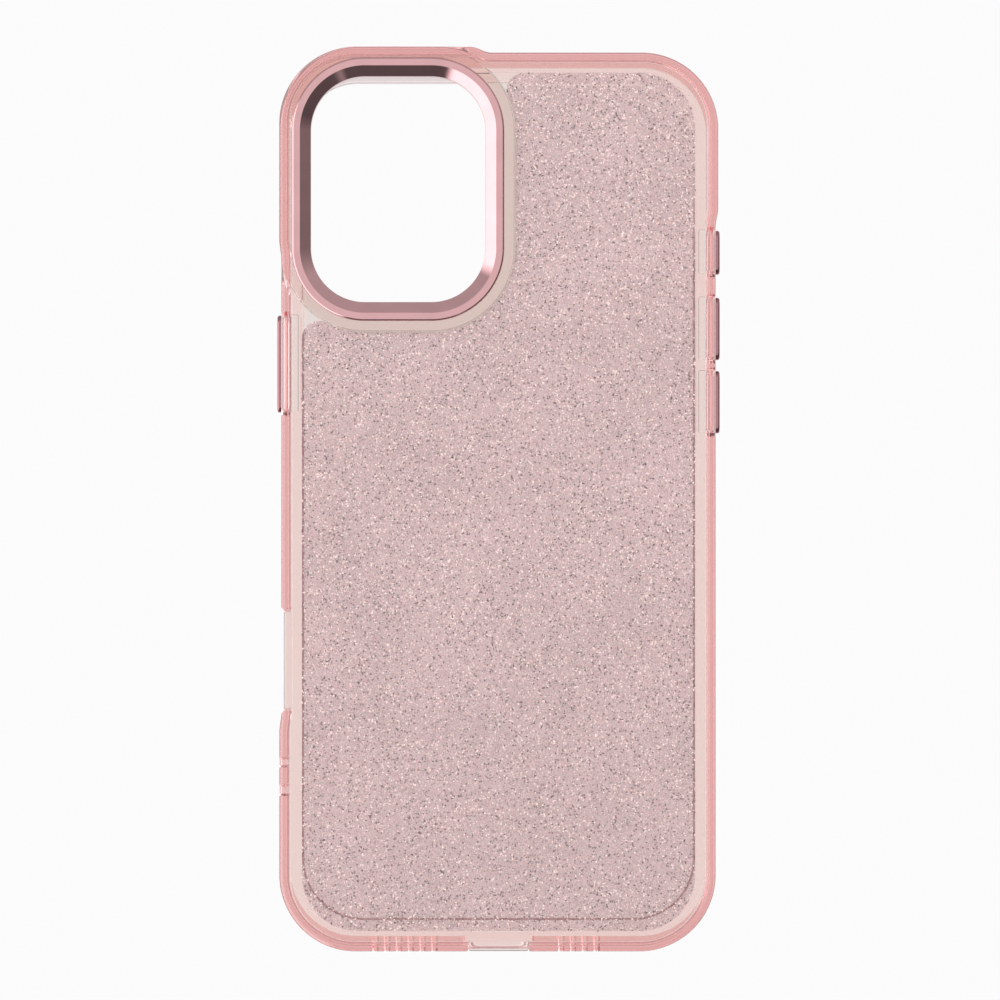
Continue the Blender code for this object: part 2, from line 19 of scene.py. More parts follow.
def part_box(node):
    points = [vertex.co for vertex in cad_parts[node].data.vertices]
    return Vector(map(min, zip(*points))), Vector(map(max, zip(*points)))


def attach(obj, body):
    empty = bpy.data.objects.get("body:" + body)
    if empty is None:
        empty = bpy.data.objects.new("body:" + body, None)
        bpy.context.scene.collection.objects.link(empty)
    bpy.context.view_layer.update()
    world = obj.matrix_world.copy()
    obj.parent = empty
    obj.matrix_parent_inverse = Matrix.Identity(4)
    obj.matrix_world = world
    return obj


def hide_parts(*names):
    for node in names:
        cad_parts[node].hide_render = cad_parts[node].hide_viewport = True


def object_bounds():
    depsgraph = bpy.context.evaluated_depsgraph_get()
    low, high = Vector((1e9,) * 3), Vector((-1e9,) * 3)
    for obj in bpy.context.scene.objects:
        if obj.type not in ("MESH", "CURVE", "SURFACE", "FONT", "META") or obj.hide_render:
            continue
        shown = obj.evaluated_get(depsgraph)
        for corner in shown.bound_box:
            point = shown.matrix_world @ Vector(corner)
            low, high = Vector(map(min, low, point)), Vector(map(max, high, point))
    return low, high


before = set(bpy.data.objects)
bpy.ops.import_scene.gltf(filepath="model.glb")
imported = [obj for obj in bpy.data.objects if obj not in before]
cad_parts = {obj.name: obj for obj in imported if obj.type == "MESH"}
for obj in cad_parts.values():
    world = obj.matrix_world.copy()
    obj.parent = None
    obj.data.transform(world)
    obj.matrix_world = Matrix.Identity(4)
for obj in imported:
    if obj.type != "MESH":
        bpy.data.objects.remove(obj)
CAD_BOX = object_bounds()

LOG = logging.getLogger("phone_case")
MM = 0.001
CASE_BODY = "case"
SHARP_ANGLE = math.radians(32)
FACE_WEIGHT = 90  # how far large faces outweigh small ones in a corner's normal

Flat = tuple[float, float]
Place = tuple[float, float, float]
Colour = tuple[float, float, float]
Piece = bpy.types.Object
Material = bpy.types.Material
Socket = bpy.types.NodeSocket


class Axis(Enum):
    """The direction a flat outline is run along, with the turn from outline and height to a place."""

    ACROSS = "X"
    THROUGH = "Y"
    ALONG = "Z"

    def place(self, u: float, v: float, height: float) -> Place:
        """The place of an outline point (u, v) at a height along the axis."""
        if self is Axis.ACROSS:
            return (height, u, v)
        if self is Axis.THROUGH:
            return (u, height, v)
        return (u, v, height)


class Side(Enum):
    """A long side of the case, seen from the back."""

    LEFT = -1
    RIGHT = 1


@dataclass(frozen=True)
class Steps:
    """How many pieces an outline's corners and straight sides are cut into."""

    corner: int = 24
    across: int = 1
    along: int = 1


@dataclass(frozen=True)
class RoundedRectangle:
    """A flat outline with round corners."""

    half_u: float
    half_v: float
    radius: float
    centre: Flat = (0.0, 0.0)

    def grown(self, growth: float) -> "RoundedRectangle":
        """The same outline moved outwards."""
        size = (self.half_u + growth, self.half_v + growth, max(self.radius + growth, 0.01 * MM))
        return RoundedRectangle(*size, self.centre)

    def points(self, steps: Steps) -> list[Flat]:
        """Points round the outline, anticlockwise from the start of its lower right corner.

        Args:
            steps: how finely corners and sides are cut.

        Returns:
            The points, as many for every outline that has the same steps.
        """
        corners = ((1, -1, -90), (1, 1, 0), (-1, 1, 90), (-1, -1, 180))
        arcs = [self._corner(sign_u, sign_v, start, steps.corner) for sign_u, sign_v, start in corners]
        found = []
        for number, corner in enumerate(arcs):
            following = arcs[(number + 1) % len(arcs)][0]
            count = steps.along if number % 2 == 0 else steps.across
            found += corner
            for i in range(1, count):
                share = i / count
                found.append(tuple(a + (b - a) * share for a, b in zip(corner[-1], following)))
        return found

    def _corner(self, sign_u: int, sign_v: int, start: float, count: int) -> list[Flat]:
        """One round corner's points, both ends included."""
        middle_u = self.centre[0] + sign_u * (self.half_u - self.radius)
        middle_v = self.centre[1] + sign_v * (self.half_v - self.radius)
        angles = [math.radians(start + 90 * i / count) for i in range(count + 1)]
        return [(middle_u + self.radius * math.cos(a), middle_v + self.radius * math.sin(a)) for a in angles]

    def depth(self, u: float, v: float) -> float:
        """How far inside the outline a point lies, negative outside."""
        over_u = abs(u - self.centre[0]) - (self.half_u - self.radius)
        over_v = abs(v - self.centre[1]) - (self.half_v - self.radius)
        outside = math.hypot(max(over_u, 0.0), max(over_v, 0.0))
        return self.radius - outside - min(max(over_u, over_v), 0.0)


def ramp(value: float, start: float, end: float) -> float:
    """0 before start, 1 after end, and a smooth step between them."""
    share = min(max((value - start) / (end - start), 0.0), 1.0)
    return share * share * (3 - 2 * share)


def turn(centre: Flat, radius: float, start: float, end: float, count: int) -> list[Flat]:
    """Points on an arc between two angles in degrees, both ends included."""
    angles = [math.radians(start + (end - start) * i / count) for i in range(count + 1)]
    return [(centre[0] + radius * math.cos(a), centre[1] + radius * math.sin(a)) for a in angles]


@dataclass
class CaseLayout:
    """Where the case's shells lie: outlines and heights shared by several pieces."""

    film_inset: float = 3.55 * MM  # from the case's outline to the film's edge
    corner_radius: float = 13.2 * MM
    cavity_radius: float = 11.4 * MM
    side_wall: float = 1.55 * MM
    end_wall: float = 2.6 * MM
    rim_width: float = 1.65 * MM
    ledge_width: float = 1.8 * MM
    ring_radius: float = 12.6 * MM
    ring_band: float = 3.25 * MM
    island_margin: float = 1.75 * MM
    camera_swell: Flat = (0.36 * MM, 1.0 * MM)  # out of the side, out of the top
    camera_swell_left: float = 5.7 * MM
    camera_swell_rise: float = 13.1 * MM
    top_right_swell: float = 0.45 * MM
    top_right_start: float = 47.4 * MM
    lower_left_swell: float = 0.35 * MM
    lower_left_start: float = -39.75 * MM
    swell_blend: float = 3.4 * MM

    def __post_init__(self) -> None:
        """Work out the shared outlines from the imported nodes' boxes."""
        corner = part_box("inner_liner")[1]
        half_u, half_v = corner.x + self.film_inset, corner.z + self.film_inset
        self.plain = RoundedRectangle(half_u, half_v, self.corner_radius)
        self.cavity = RoundedRectangle(half_u - self.side_wall, half_v - self.end_wall, self.cavity_radius)
        low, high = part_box("camera_ring")
        middle, half = (low + high) / 2, (high - low) / 2
        self.ring = RoundedRectangle(half.x, half.z, self.ring_radius, (middle.x, middle.z))
        self.island = self.ring.grown(self.island_margin)

    def swollen(self, point: Flat) -> Flat:
        """A point of the plain outline, moved out where the bumper is thicker round its corners."""
        x, z = point
        ring = self.ring
        top_x = ring.centre[0] + ring.half_u - self.camera_swell_left
        side_z = ring.centre[1] - ring.half_v + self.camera_swell_rise
        blend = self.swell_blend
        z_shift = self.camera_swell[1] * ramp(x, top_x + blend, top_x) if z > 0 else 0.0
        if x < 0:
            x_shift = -self.camera_swell[0] * ramp(z, side_z - blend, side_z)
            x_shift -= self.lower_left_swell * ramp(z, self.lower_left_start + blend, self.lower_left_start)
        else:
            x_shift = self.top_right_swell * ramp(z, self.top_right_start, self.top_right_start + blend)
        side_share = min(abs(x) / (self.plain.half_u / 2), 1.0) ** 4
        return x + x_shift * side_share, z + z_shift

    def outer(self, inset: float, steps: Steps) -> list[Flat]:
        """The case's real outline, moved in by inset."""
        return [self.swollen(point) for point in self.plain.grown(-inset).points(steps)]


def linked(name: str, data: bpy.types.ID) -> Piece:
    """A new object at the origin, in the scene."""
    made = bpy.data.objects.new(name, data)
    bpy.context.scene.collection.objects.link(made)
    return made


def mesh_object(name: str, work: bmesh.types.BMesh) -> Piece:
    """A mesh object from a finished bmesh, faces outwards, which is freed."""
    bmesh.ops.recalc_face_normals(work, faces=work.faces)
    mesh = bpy.data.meshes.new(name)
    work.to_mesh(mesh)
    work.free()
    return linked(name, mesh)


def loft(name: str, loops: Sequence[Sequence[Place]], joined: bool = False) -> Piece:
    """A skin through loops of points.

    Args:
        name: the object's name.
        loops: closed loops with one number of points.
        joined: whether the last loop meets the first; otherwise both ends get a flat cap.

    Returns:
        The closed mesh object.
    """
    work = bmesh.new()
    rows = [[work.verts.new(point) for point in loop] for loop in loops]
    pairs = zip(rows, rows[1:] + rows[:1]) if joined else zip(rows, rows[1:])
    for row, following in pairs:
        for i in range(len(row)):
            after = (i + 1) % len(row)
            work.faces.new((row[i], row[after], following[after], following[i]))
    if not joined:
        work.faces.new(rows[0])
        work.faces.new(rows[-1])
    return mesh_object(name, work)


def filling(outline: Sequence[Flat]) -> list[tuple[int, int, int]]:
    """Triangles that fill a flat outline, worked out in millimetres to keep rounding errors small."""
    return tessellate_polygon([[Vector((u / MM, v / MM, 0.0)) for u, v in outline]])


def tower(
    name: str, shape: RoundedRectangle, levels: Iterable[Flat], axis: Axis, steps: Steps = Steps()
) -> Piece:
    """A closed solid whose outline grows and shrinks along an axis.

    Args:
        name: the object's name.
        shape: the outline.
        levels: (height along the axis, growth of the outline) from one end to the other.
        axis: the direction of the heights.
        steps: how finely the outline is cut.

    Returns:
        The closed mesh object.
    """
    outlines = ((height, shape.grown(growth).points(steps)) for height, growth in levels)
    return loft(name, [[axis.place(u, v, height) for u, v in outline] for height, outline in outlines])


def cut(target: Piece, tools: Iterable[Piece], operation: str = "DIFFERENCE") -> None:
    """Cut, join or intersect the target with each tool in turn, and remove the tools."""
    used = list(tools)
    for tool in used:
        step = target.modifiers.new(tool.name, "BOOLEAN")
        step.operation, step.solver, step.object = operation, "MANIFOLD", tool
    apply_modifiers(target)
    for tool in used:
        bpy.data.objects.remove(tool)


def apply_modifiers(target: Piece) -> None:
    """Replace the target's mesh with what its modifiers make of it."""
    graph = bpy.context.evaluated_depsgraph_get()
    mesh = bpy.data.meshes.new_from_object(target.evaluated_get(graph), depsgraph=graph)
    target.modifiers.clear()
    old = target.data
    target.data = mesh
    mesh.name = target.name
    bpy.data.meshes.remove(old)


def finish_piece(
    piece: Piece, body: str, material: Material, replaced: Sequence[str] = ()
) -> Piece:
    """Shade a piece, dress it and hang it on its body.

    Args:
        piece: a mesh object at the origin.
        body: the body it moves with.
        material: its finish.
        replaced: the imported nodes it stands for.

    Returns:
        The piece.
    """
    mesh = piece.data
    mesh.materials.clear()
    mesh.materials.append(material)
    mesh.shade_smooth()
    mesh.set_sharp_from_angle(angle=SHARP_ANGLE)
    even = piece.modifiers.new("even_normals", "WEIGHTED_NORMAL")
    even.mode, even.weight, even.keep_sharp = "FACE_AREA", FACE_WEIGHT, True
    apply_modifiers(piece)
    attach(piece, body)
    if replaced:
        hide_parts(*replaced)
    LOG.info("%s: %d faces on %s", piece.name, len(piece.data.polygons), body)
    return piece


# ---------------------------------------------------------------------------------------------------------
# Shader building


class Nodes:
    """Adds nodes to a tree and links them."""

    def __init__(self, tree: bpy.types.NodeTree) -> None:
        """Start with an empty tree."""
        self.tree = tree
        tree.nodes.clear()

    def add(self, kind: str, inputs: dict | None = None, **settings) -> bpy.types.Node:
        """Add one node.

        Args:
            kind: the node's type name.
            inputs: values or output sockets for its inputs, by name or number.
            settings: the node's own properties.

        Returns:
            The node.
        """
        node = self.tree.nodes.new(kind)
        for name, value in settings.items():
            setattr(node, name, value)
        for name, value in (inputs or {}).items():
            self.feed(node.inputs[name], value)
        return node

    def feed(self, socket: Socket, value: object) -> None:
        """Link an output socket to a socket, or set the socket's own value."""
        if isinstance(value, Socket):
            self.tree.links.new(value, socket)
        else:
            socket.default_value = value

    def ramp(self, factor: Socket, stops: Sequence[tuple[float, Colour]]) -> Socket:
        """A colour ramp with the given stops, as its colour output."""
        node = self.add("ShaderNodeValToRGB", {"Fac": factor})
        elements = node.color_ramp.elements
        while len(elements) < len(stops):
            elements.new(0.5)
        for element, (position, colour) in zip(elements, stops):
            element.position = position
            element.color = (*colour, 1.0)
        return node.outputs["Color"]

    def place(self) -> Socket:
        """The point on the object."""
        return self.add("ShaderNodeTexCoord").outputs["Object"]

    def noise(self, scale: object, detail: float, roughness: float = 0.5) -> Socket:
        """Smooth noise over the object, as its value."""
        inputs = {"Vector": self.place(), "Scale": scale, "Detail": detail, "Roughness": roughness}
        return self.add("ShaderNodeTexNoise", inputs).outputs["Fac"]

    def cells(self, size: float) -> Sequence[Socket]:
        """Three random values for each cell of a size, over the object."""
        cells = self.add("ShaderNodeTexVoronoi", {"Vector": self.place(), "Scale": 1.0 / size})
        return self.add("ShaderNodeSeparateColor", {"Color": cells.outputs["Color"]}).outputs

    def blend(self, share: object, first: object, second: object) -> Socket:
        """Two colours mixed."""
        return self.add("ShaderNodeMix", {0: share, 6: first, 7: second}, data_type="RGBA").outputs[2]

    def finish(self, inputs: dict, volume: Socket | None = None) -> None:
        """End a material with one Principled node, and with what fills the inside.

        Args:
            inputs: the Principled node's inputs.
            volume: the volume shader, if light goes through.
        """
        shown = {"Surface": self.add("ShaderNodeBsdfPrincipled", inputs).outputs["BSDF"]}
        if volume is not None:
            shown["Volume"] = volume
        self.add("ShaderNodeOutputMaterial", shown)

    def math(self, operation: str, *values: object) -> Socket:
        """A math node's result."""
        return self.add("ShaderNodeMath", dict(enumerate(values)), operation=operation).outputs[0]

    def spread(self, value: object, low: float, high: float, out_low: object, out_high: object) -> Socket:
        """A value mapped from one range to another, held inside it."""
        keys = ("Value", "From Min", "From Max", "To Min", "To Max")
        node = self.add("ShaderNodeMapRange", dict(zip(keys, (value, low, high, out_low, out_high))))
        return node.outputs["Result"]


def moulded_surface_group() -> bpy.types.NodeTree:
    """Fine waviness and haze of a moulded or polished surface, as a roughness and a normal."""
    name = "moulded_surface"
    if name in bpy.data.node_groups:
        return bpy.data.node_groups[name]
    tree = bpy.data.node_groups.new(name, "ShaderNodeTree")
    for label in ("Wave Size", "Wave Height", "Haze Low", "Haze High"):
        tree.interface.new_socket(label, in_out="INPUT", socket_type="NodeSocketFloat")
    for label, kind in (("Roughness", "Float"), ("Normal", "Vector")):
        tree.interface.new_socket(label, in_out="OUTPUT", socket_type=f"NodeSocket{kind}")
    nodes = Nodes(tree)
    given = nodes.add("NodeGroupInput").outputs
    waves = nodes.noise(nodes.math("DIVIDE", 1.0, given["Wave Size"]), 2.0)
    bump = nodes.add("ShaderNodeBump", {"Height": waves, "Distance": given["Wave Height"], "Strength": 1.0})
    rough = nodes.spread(nodes.noise(160.0, 5.0, 0.65), 0.35, 0.7, given["Haze Low"], given["Haze High"])
    nodes.add("NodeGroupOutput", {"Roughness": rough, "Normal": bump.outputs["Normal"]})
    return tree


def rounded_outline(nodes: Nodes, place: Socket, half: Flat, corner: float) -> Socket:
    """The distance from a rounded rectangle round the origin, below zero inside it.

    Args:
        nodes: the tree's builder.
        place: the point, as a vector socket.
        half: half its width and half its height.
        corner: its corner radius.

    Returns:
        The distance, as a value socket.
    """
    parts = nodes.add("ShaderNodeSeparateXYZ", {"Vector": place}).outputs
    past = [
        nodes.math("SUBTRACT", nodes.math("ABSOLUTE", parts[axis]), size - corner)
        for axis, size in zip(("X", "Z"), half)
    ]
    beyond = [nodes.math("MAXIMUM", value, 0.0) for value in past]
    squares = [nodes.math("MULTIPLY", value, value) for value in beyond]
    round_part = nodes.math("SQRT", nodes.math("ADD", *squares))
    straight = nodes.math("MINIMUM", nodes.math("MAXIMUM", *past), 0.0)
    return nodes.math("SUBTRACT", nodes.math("ADD", round_part, straight), corner)


@dataclass(frozen=True)
class MouldedSurface:
    """How smooth a surface is: the size and height of its waviness and the range of its haze."""

    wave_size: float
    wave_height: float
    haze: tuple[float, float]

    def place(self, nodes: Nodes) -> tuple[Socket, Socket]:
        """The shared group's roughness and normal, with this surface's values."""
        node = nodes.add("ShaderNodeGroup", node_tree=moulded_surface_group())
        names = ("Wave Size", "Wave Height", "Haze Low", "Haze High")
        for name, value in zip(names, (self.wave_size, self.wave_height, *self.haze)):
            nodes.feed(node.inputs[name], value)
        return node.outputs["Roughness"], node.outputs["Normal"]


def new_material(name: str) -> tuple[Material, Nodes]:
    """An empty node material and its node builder."""
    material = bpy.data.materials.new(name)
    material.use_nodes = True
    return material, Nodes(material.node_tree)


@dataclass(frozen=True)
class TintedPlastic:
    """See-through plastic whose colour deepens with the length of the way through it."""

    name: str
    base: Colour
    tint: Colour
    strength: float  # how much of the tint's complement one metre takes
    ior: float
    surface: MouldedSurface
    surfaces_bent: int = 5  # light bent this often, or mirrored half as often, goes straight on

    def material(self) -> Material:
        """Build the finish."""
        material, nodes = new_material(self.name)
        roughness, normal = self.surface.place(nodes)
        paler = tuple(1 - (1 - c) * 0.6 for c in self.base)
        path = nodes.add("ShaderNodeLightPath").outputs
        mirrored = nodes.math("MULTIPLY", path["Glossy Depth"], self.surfaces_bent / 2)
        deepest = nodes.math("MAXIMUM", path["Ray Depth"], mirrored)
        inputs = {
            "Base Color": nodes.ramp(nodes.noise(45.0, 3.0), ((0.3, self.base), (0.7, paler))),
            "Roughness": roughness,
            "Normal": normal,
            "IOR": self.ior,
            "Transmission Weight": 1.0,
            "Alpha": nodes.math("LESS_THAN", deepest, self.surfaces_bent - 0.5),
        }
        filled = {"Color": (*self.tint, 1.0), "Density": self.strength}
        inside = nodes.add("ShaderNodeVolumeAbsorption", filled)
        nodes.finish(inputs, inside.outputs["Volume"])
        return material


@dataclass(frozen=True)
class PlatedMetal:
    """Thin bright plating with a faint grain."""

    name: str
    colour: Colour
    edge: Colour
    surface: MouldedSurface

    def material(self) -> Material:
        """Build the finish."""
        material, nodes = new_material(self.name)
        roughness, normal = self.surface.place(nodes)
        deeper = tuple(c * 0.93 for c in self.colour)
        inputs = {
            "Base Color": nodes.ramp(nodes.noise(220.0, 4.0), ((0.35, deeper), (0.65, self.colour))),
            "Roughness": roughness,
            "Normal": normal,
            "Metallic": 1.0,
            "Specular Tint": (*self.edge, 1.0),
        }
        nodes.finish(inputs)
        return material


@dataclass(frozen=True)
class GlitterCoat:
    """A printed film full of fine flakes, partly see-through between them, with a painted line of shade and
    highlight where the screen lip's inner edge lies behind it.
    """

    name: str
    deep: Colour
    middle: Colour
    pale: Colour
    grain: float = 0.2 * MM
    cover: tuple[float, float] = (0.35, 0.9)
    lip_edge_half: Flat = (33.75 * MM, 72.0 * MM)  # where the screen lip's inner edge lies behind the film, drawn as a painted line of shade and highlight
    lip_edge_corner: float = 10.5 * MM
    painted_lip_line_width: float = 0.24 * MM
    painted_lip_shade_and_highlight: tuple[Colour, Colour] = ((0.38, 0.14, 0.18), (1.0, 0.97, 0.97))  # painted shade at the foot, painted highlight at the top

    def material(self) -> Material:
        """Build the finish."""
        material, nodes = new_material(self.name)
        shade, cover, shine = nodes.cells(self.grain)
        stops = ((0.0, self.deep), (0.25, self.middle), (0.8, self.middle), (1.0, self.pale))
        drift = nodes.spread(nodes.noise(60.0, 3.0), 0.3, 0.7, 0.94, 1.05)
        lit = {0: nodes.ramp(shade, stops), 1: drift}
        colour = nodes.add("ShaderNodeVectorMath", lit, operation="MULTIPLY")
        place = nodes.place()
        # A painted line of shade and highlight along the screen lip's inner edge. Its strength varies with
        # each flake's shine, and it makes the film opaque where it runs.
        offset = nodes.math("ABSOLUTE", rounded_outline(nodes, place, self.lip_edge_half, self.lip_edge_corner))
        painted_lip_line = nodes.spread(offset, self.painted_lip_line_width / 2, self.painted_lip_line_width, 1.0, 0.0)
        painted_lip_line = nodes.math("MULTIPLY", painted_lip_line, nodes.spread(shine, 0.0, 0.8, 0.6, 1.0))
        # The painted line's colour by height: painted shade over most of its length, turning to a painted
        # highlight near the top.
        height = nodes.add("ShaderNodeSeparateXYZ", {"Vector": place}).outputs["Z"]
        rise = nodes.spread(height, 0.55 * self.lip_edge_half[1], 0.95 * self.lip_edge_half[1], 0.0, 1.0)
        line = nodes.ramp(rise, tuple(zip((0.0, 1.0), self.painted_lip_shade_and_highlight)))
        alpha = nodes.math("MAXIMUM", nodes.spread(cover, 0.0, 1.0, *self.cover), painted_lip_line)
        bump = nodes.add("ShaderNodeBump", {"Height": shade, "Distance": 0.02 * MM, "Strength": 0.6})
        inputs = {
            "Base Color": nodes.blend(painted_lip_line, colour.outputs[0], line),
            "Roughness": nodes.spread(shine, 0.0, 1.0, 0.25, 0.6),
            "Alpha": alpha,
            "Metallic": 0.35,
            "Normal": bump.outputs["Normal"],
        }
        nodes.finish(inputs)
        return material


@dataclass(frozen=True)
class FlakeFoil:
    """The foil one sort of glitter flake is cut from."""

    name: str
    colour: Colour
    metallic: float
    roughness: float

    def material(self) -> Material:
        """Build the finish."""
        material, nodes = new_material(self.name)
        duller = tuple(c * 0.8 for c in self.colour)
        colour = nodes.ramp(nodes.cells(0.6 * MM)[0], ((0.0, duller), (1.0, self.colour)))
        nodes.finish({"Base Color": colour, "Metallic": self.metallic, "Roughness": self.roughness})
        return material


@dataclass(frozen=True)
class DarkTape:
    """Thin dark adhesive tape."""

    name: str
    colour: Colour

    def material(self) -> Material:
        """Build the finish."""
        material, nodes = new_material(self.name)
        roughness, normal = MouldedSurface(0.5 * MM, 0.01 * MM, (0.45, 0.65)).place(nodes)
        paler = tuple(c * 1.6 for c in self.colour)
        colour = nodes.ramp(nodes.noise(900.0, 3.0), ((0.3, self.colour), (0.7, paler)))
        nodes.finish({"Base Color": colour, "Roughness": roughness, "Normal": normal})
        return material


SOFT_TPU = TintedPlastic(
    "tinted_soft_plastic",
    base=(1.0, 0.95, 0.945),
    tint=(0.86, 0.22, 0.20),
    strength=85.0,
    ior=1.5,
    surface=MouldedSurface(3.0 * MM, 0.004 * MM, (0.02, 0.05)),
)
CLEAR_PLATE = TintedPlastic(
    "clear_hard_plastic",
    base=(1.0, 0.99, 0.985),
    tint=(0.607, 0.175, 0.02),
    strength=200.0,
    ior=1.55,
    surface=MouldedSurface(6.0 * MM, 0.002 * MM, (0.01, 0.03)),
)
CLEAR_LINER = TintedPlastic(
    "clear_liner",
    base=(1.0, 0.985, 0.98),
    tint=(0.85, 0.5, 0.45),
    strength=20.0,
    ior=1.5,
    surface=MouldedSurface(4.0 * MM, 0.002 * MM, (0.03, 0.07)),
)
ROSE_PLATING = PlatedMetal(
    "rose_plating",
    colour=(0.47, 0.275, 0.285),
    edge=(1.0, 0.86, 0.86),
    surface=MouldedSurface(2.5 * MM, 0.0012 * MM, (0.04, 0.10)),
)
BUTTON_PLATING = PlatedMetal(
    "button_plating",
    colour=(0.29, 0.145, 0.16),
    edge=(0.88, 0.64, 0.66),
    surface=MouldedSurface(1.5 * MM, 0.001 * MM, (0.06, 0.14)),
)
GLITTER = GlitterCoat("glitter_coat", (0.66, 0.54, 0.60), (0.93, 0.83, 0.92), (1.0, 0.97, 1.0))
TAPE = DarkTape("dark_adhesive", (0.09, 0.03, 0.035))


# ---------------------------------------------------------------------------------------------------------
# Geometry node trees


class GeometryTree:
    """A geometry node tree with named inputs, run once on an object and turned into a plain mesh."""

    def __init__(self, name: str, inputs: dict[str, str]) -> None:
        """Make the tree and its sockets.

        Args:
            name: the tree's name.
            inputs: the kind of each input besides the geometry and the finish.
        """
        self.tree = bpy.data.node_groups.new(name, "GeometryNodeTree")
        face = self.tree.interface
        face.new_socket("Geometry", in_out="INPUT", socket_type="NodeSocketGeometry")
        for label, kind in (inputs | {"Finish": "Material"}).items():
            face.new_socket(label, in_out="INPUT", socket_type=f"NodeSocket{kind}")
        face.new_socket("Geometry", in_out="OUTPUT", socket_type="NodeSocketGeometry")
        self.nodes = Nodes(self.tree)
        self.given = self.nodes.add("NodeGroupInput").outputs

    def close(self, geometry: Socket) -> None:
        """End the tree: real geometry, then its finish."""
        real = self.nodes.add("GeometryNodeRealizeInstances", {"Geometry": geometry})
        dressed = self.nodes.add(
            "GeometryNodeSetMaterial", {"Geometry": real.outputs[0], "Material": self.given["Finish"]}
        )
        self.nodes.add("NodeGroupOutput", {"Geometry": dressed.outputs[0]})

    def run(self, host: Piece, values: dict[str, object]) -> Piece:
        """Run the tree on a host object, whose mesh becomes the result.

        Args:
            host: the object whose geometry goes in.
            values: the tree's inputs by name.

        Returns:
            The host, with a plain mesh and no modifier.
        """
        modifier = host.modifiers.new(self.tree.name, "NODES")
        modifier.node_group = self.tree
        for item in self.tree.interface.items_tree:
            if item.in_out == "INPUT" and item.name in values:
                modifier[item.identifier] = values[item.name]
        apply_modifiers(host)
        return host


def flake_tree() -> GeometryTree:
    """Hexagonal flakes strewn over the faces of a sheet, each a little tilted."""
    inputs = {"Density": "Float", "Flake Radius": "Float", "Tilt": "Float", "Seed": "Int"}
    made = GeometryTree("glitter_flakes", inputs)
    nodes, given = made.nodes, made.given
    strewn = nodes.add(
        "GeometryNodeDistributePointsOnFaces",
        {"Mesh": given["Geometry"], "Density": given["Density"], "Seed": given["Seed"]},
    )
    hexagon = {"Vertices": 6, "Radius": given["Flake Radius"]}
    flake = nodes.add("GeometryNodeMeshCircle", hexagon, fill_type="NGON")
    back = nodes.math("MULTIPLY", given["Tilt"], -1.0)
    low = nodes.add("ShaderNodeCombineXYZ", {"X": back, "Y": back, "Z": 0.0})
    high = nodes.add("ShaderNodeCombineXYZ", {"X": given["Tilt"], "Y": given["Tilt"], "Z": math.tau})
    tilt = nodes.add(
        "FunctionNodeRandomValue",
        {"Min": low.outputs[0], "Max": high.outputs[0], "Seed": given["Seed"]},
        data_type="FLOAT_VECTOR",
    )
    tilted = nodes.add(
        "FunctionNodeRotateRotation",
        {"Rotation": strewn.outputs["Rotation"], "Rotate By": tilt.outputs["Value"]},
        rotation_space="LOCAL",
    )
    size = nodes.add("FunctionNodeRandomValue", {2: 0.6, 3: 1.3, "Seed": given["Seed"]}, data_type="FLOAT")
    placed = nodes.add(
        "GeometryNodeInstanceOnPoints",
        {
            "Points": strewn.outputs["Points"],
            "Instance": flake.outputs["Mesh"],
            "Rotation": tilted.outputs["Rotation"],
            "Scale": size.outputs[1],
        },
    )
    made.close(placed.outputs["Instances"])
    return made


def sweep_tree() -> GeometryTree:
    """A closed profile run round a rounded rectangle that lies in the plane of the back."""
    inputs = {"Width": "Float", "Length": "Float", "Corner Radius": "Float", "Corner Steps": "Int"}
    made = GeometryTree("swept_ring", inputs | {"Profile": "Object", "Centre": "Vector"})
    nodes, given = made.nodes, made.given
    size = {"Width": given["Width"], "Height": given["Length"]}
    path = nodes.add("GeometryNodeCurvePrimitiveQuadrilateral", size)
    rounded = nodes.add(
        "GeometryNodeFilletCurve",
        {"Curve": path.outputs[0], "Radius": given["Corner Radius"], "Count": given["Corner Steps"]},
        mode="POLY",
    )
    profile = nodes.add("GeometryNodeObjectInfo", {"Object": given["Profile"]})
    skin = nodes.add(
        "GeometryNodeCurveToMesh", {"Curve": rounded.outputs[0], "Profile Curve": profile.outputs["Geometry"]}
    )
    upright = nodes.add(
        "GeometryNodeTransform",
        {"Geometry": skin.outputs[0], "Translation": given["Centre"], "Rotation": (math.pi / 2, 0.0, 0.0)},
    )
    made.close(upright.outputs[0])
    return made


def hole_row_tree() -> GeometryTree:
    """A row of round cutters with a pitch, each widening to a flare at its outer end."""
    inputs = {"Count": "Int", "Pitch": "Float", "First": "Vector", "Cutter": "Object"}
    made = GeometryTree("hole_row", inputs)
    nodes, given = made.nodes, made.given
    step = nodes.add("ShaderNodeCombineXYZ", {"X": given["Pitch"]})
    row = nodes.add(
        "GeometryNodeMeshLine",
        {"Count": given["Count"], "Start Location": given["First"], "Offset": step.outputs[0]},
    )
    cutter = nodes.add("GeometryNodeObjectInfo", {"Object": given["Cutter"]})
    placed = nodes.add(
        "GeometryNodeInstanceOnPoints", {"Points": row.outputs[0], "Instance": cutter.outputs["Geometry"]}
    )
    made.close(placed.outputs["Instances"])
    return made


def profile_curve(name: str, points: Sequence[Flat]) -> Piece:
    """A closed flat curve to run along a path; its first value points out of the path, its second up."""
    curve = bpy.data.curves.new(name, "CURVE")
    curve.dimensions = "2D"
    spline = curve.splines.new("POLY")
    spline.points.add(len(points) - 1)
    for point, (u, v) in zip(spline.points, points):
        point.co = (u, v, 0.0, 1.0)
    spline.use_cyclic_u = True
    return linked(name, curve)


def blank(name: str) -> Piece:
    """An object with an empty mesh, to host a geometry node tree."""
    return linked(name, bpy.data.meshes.new(name))


# ---------------------------------------------------------------------------------------------------------
# Sub-assemblies


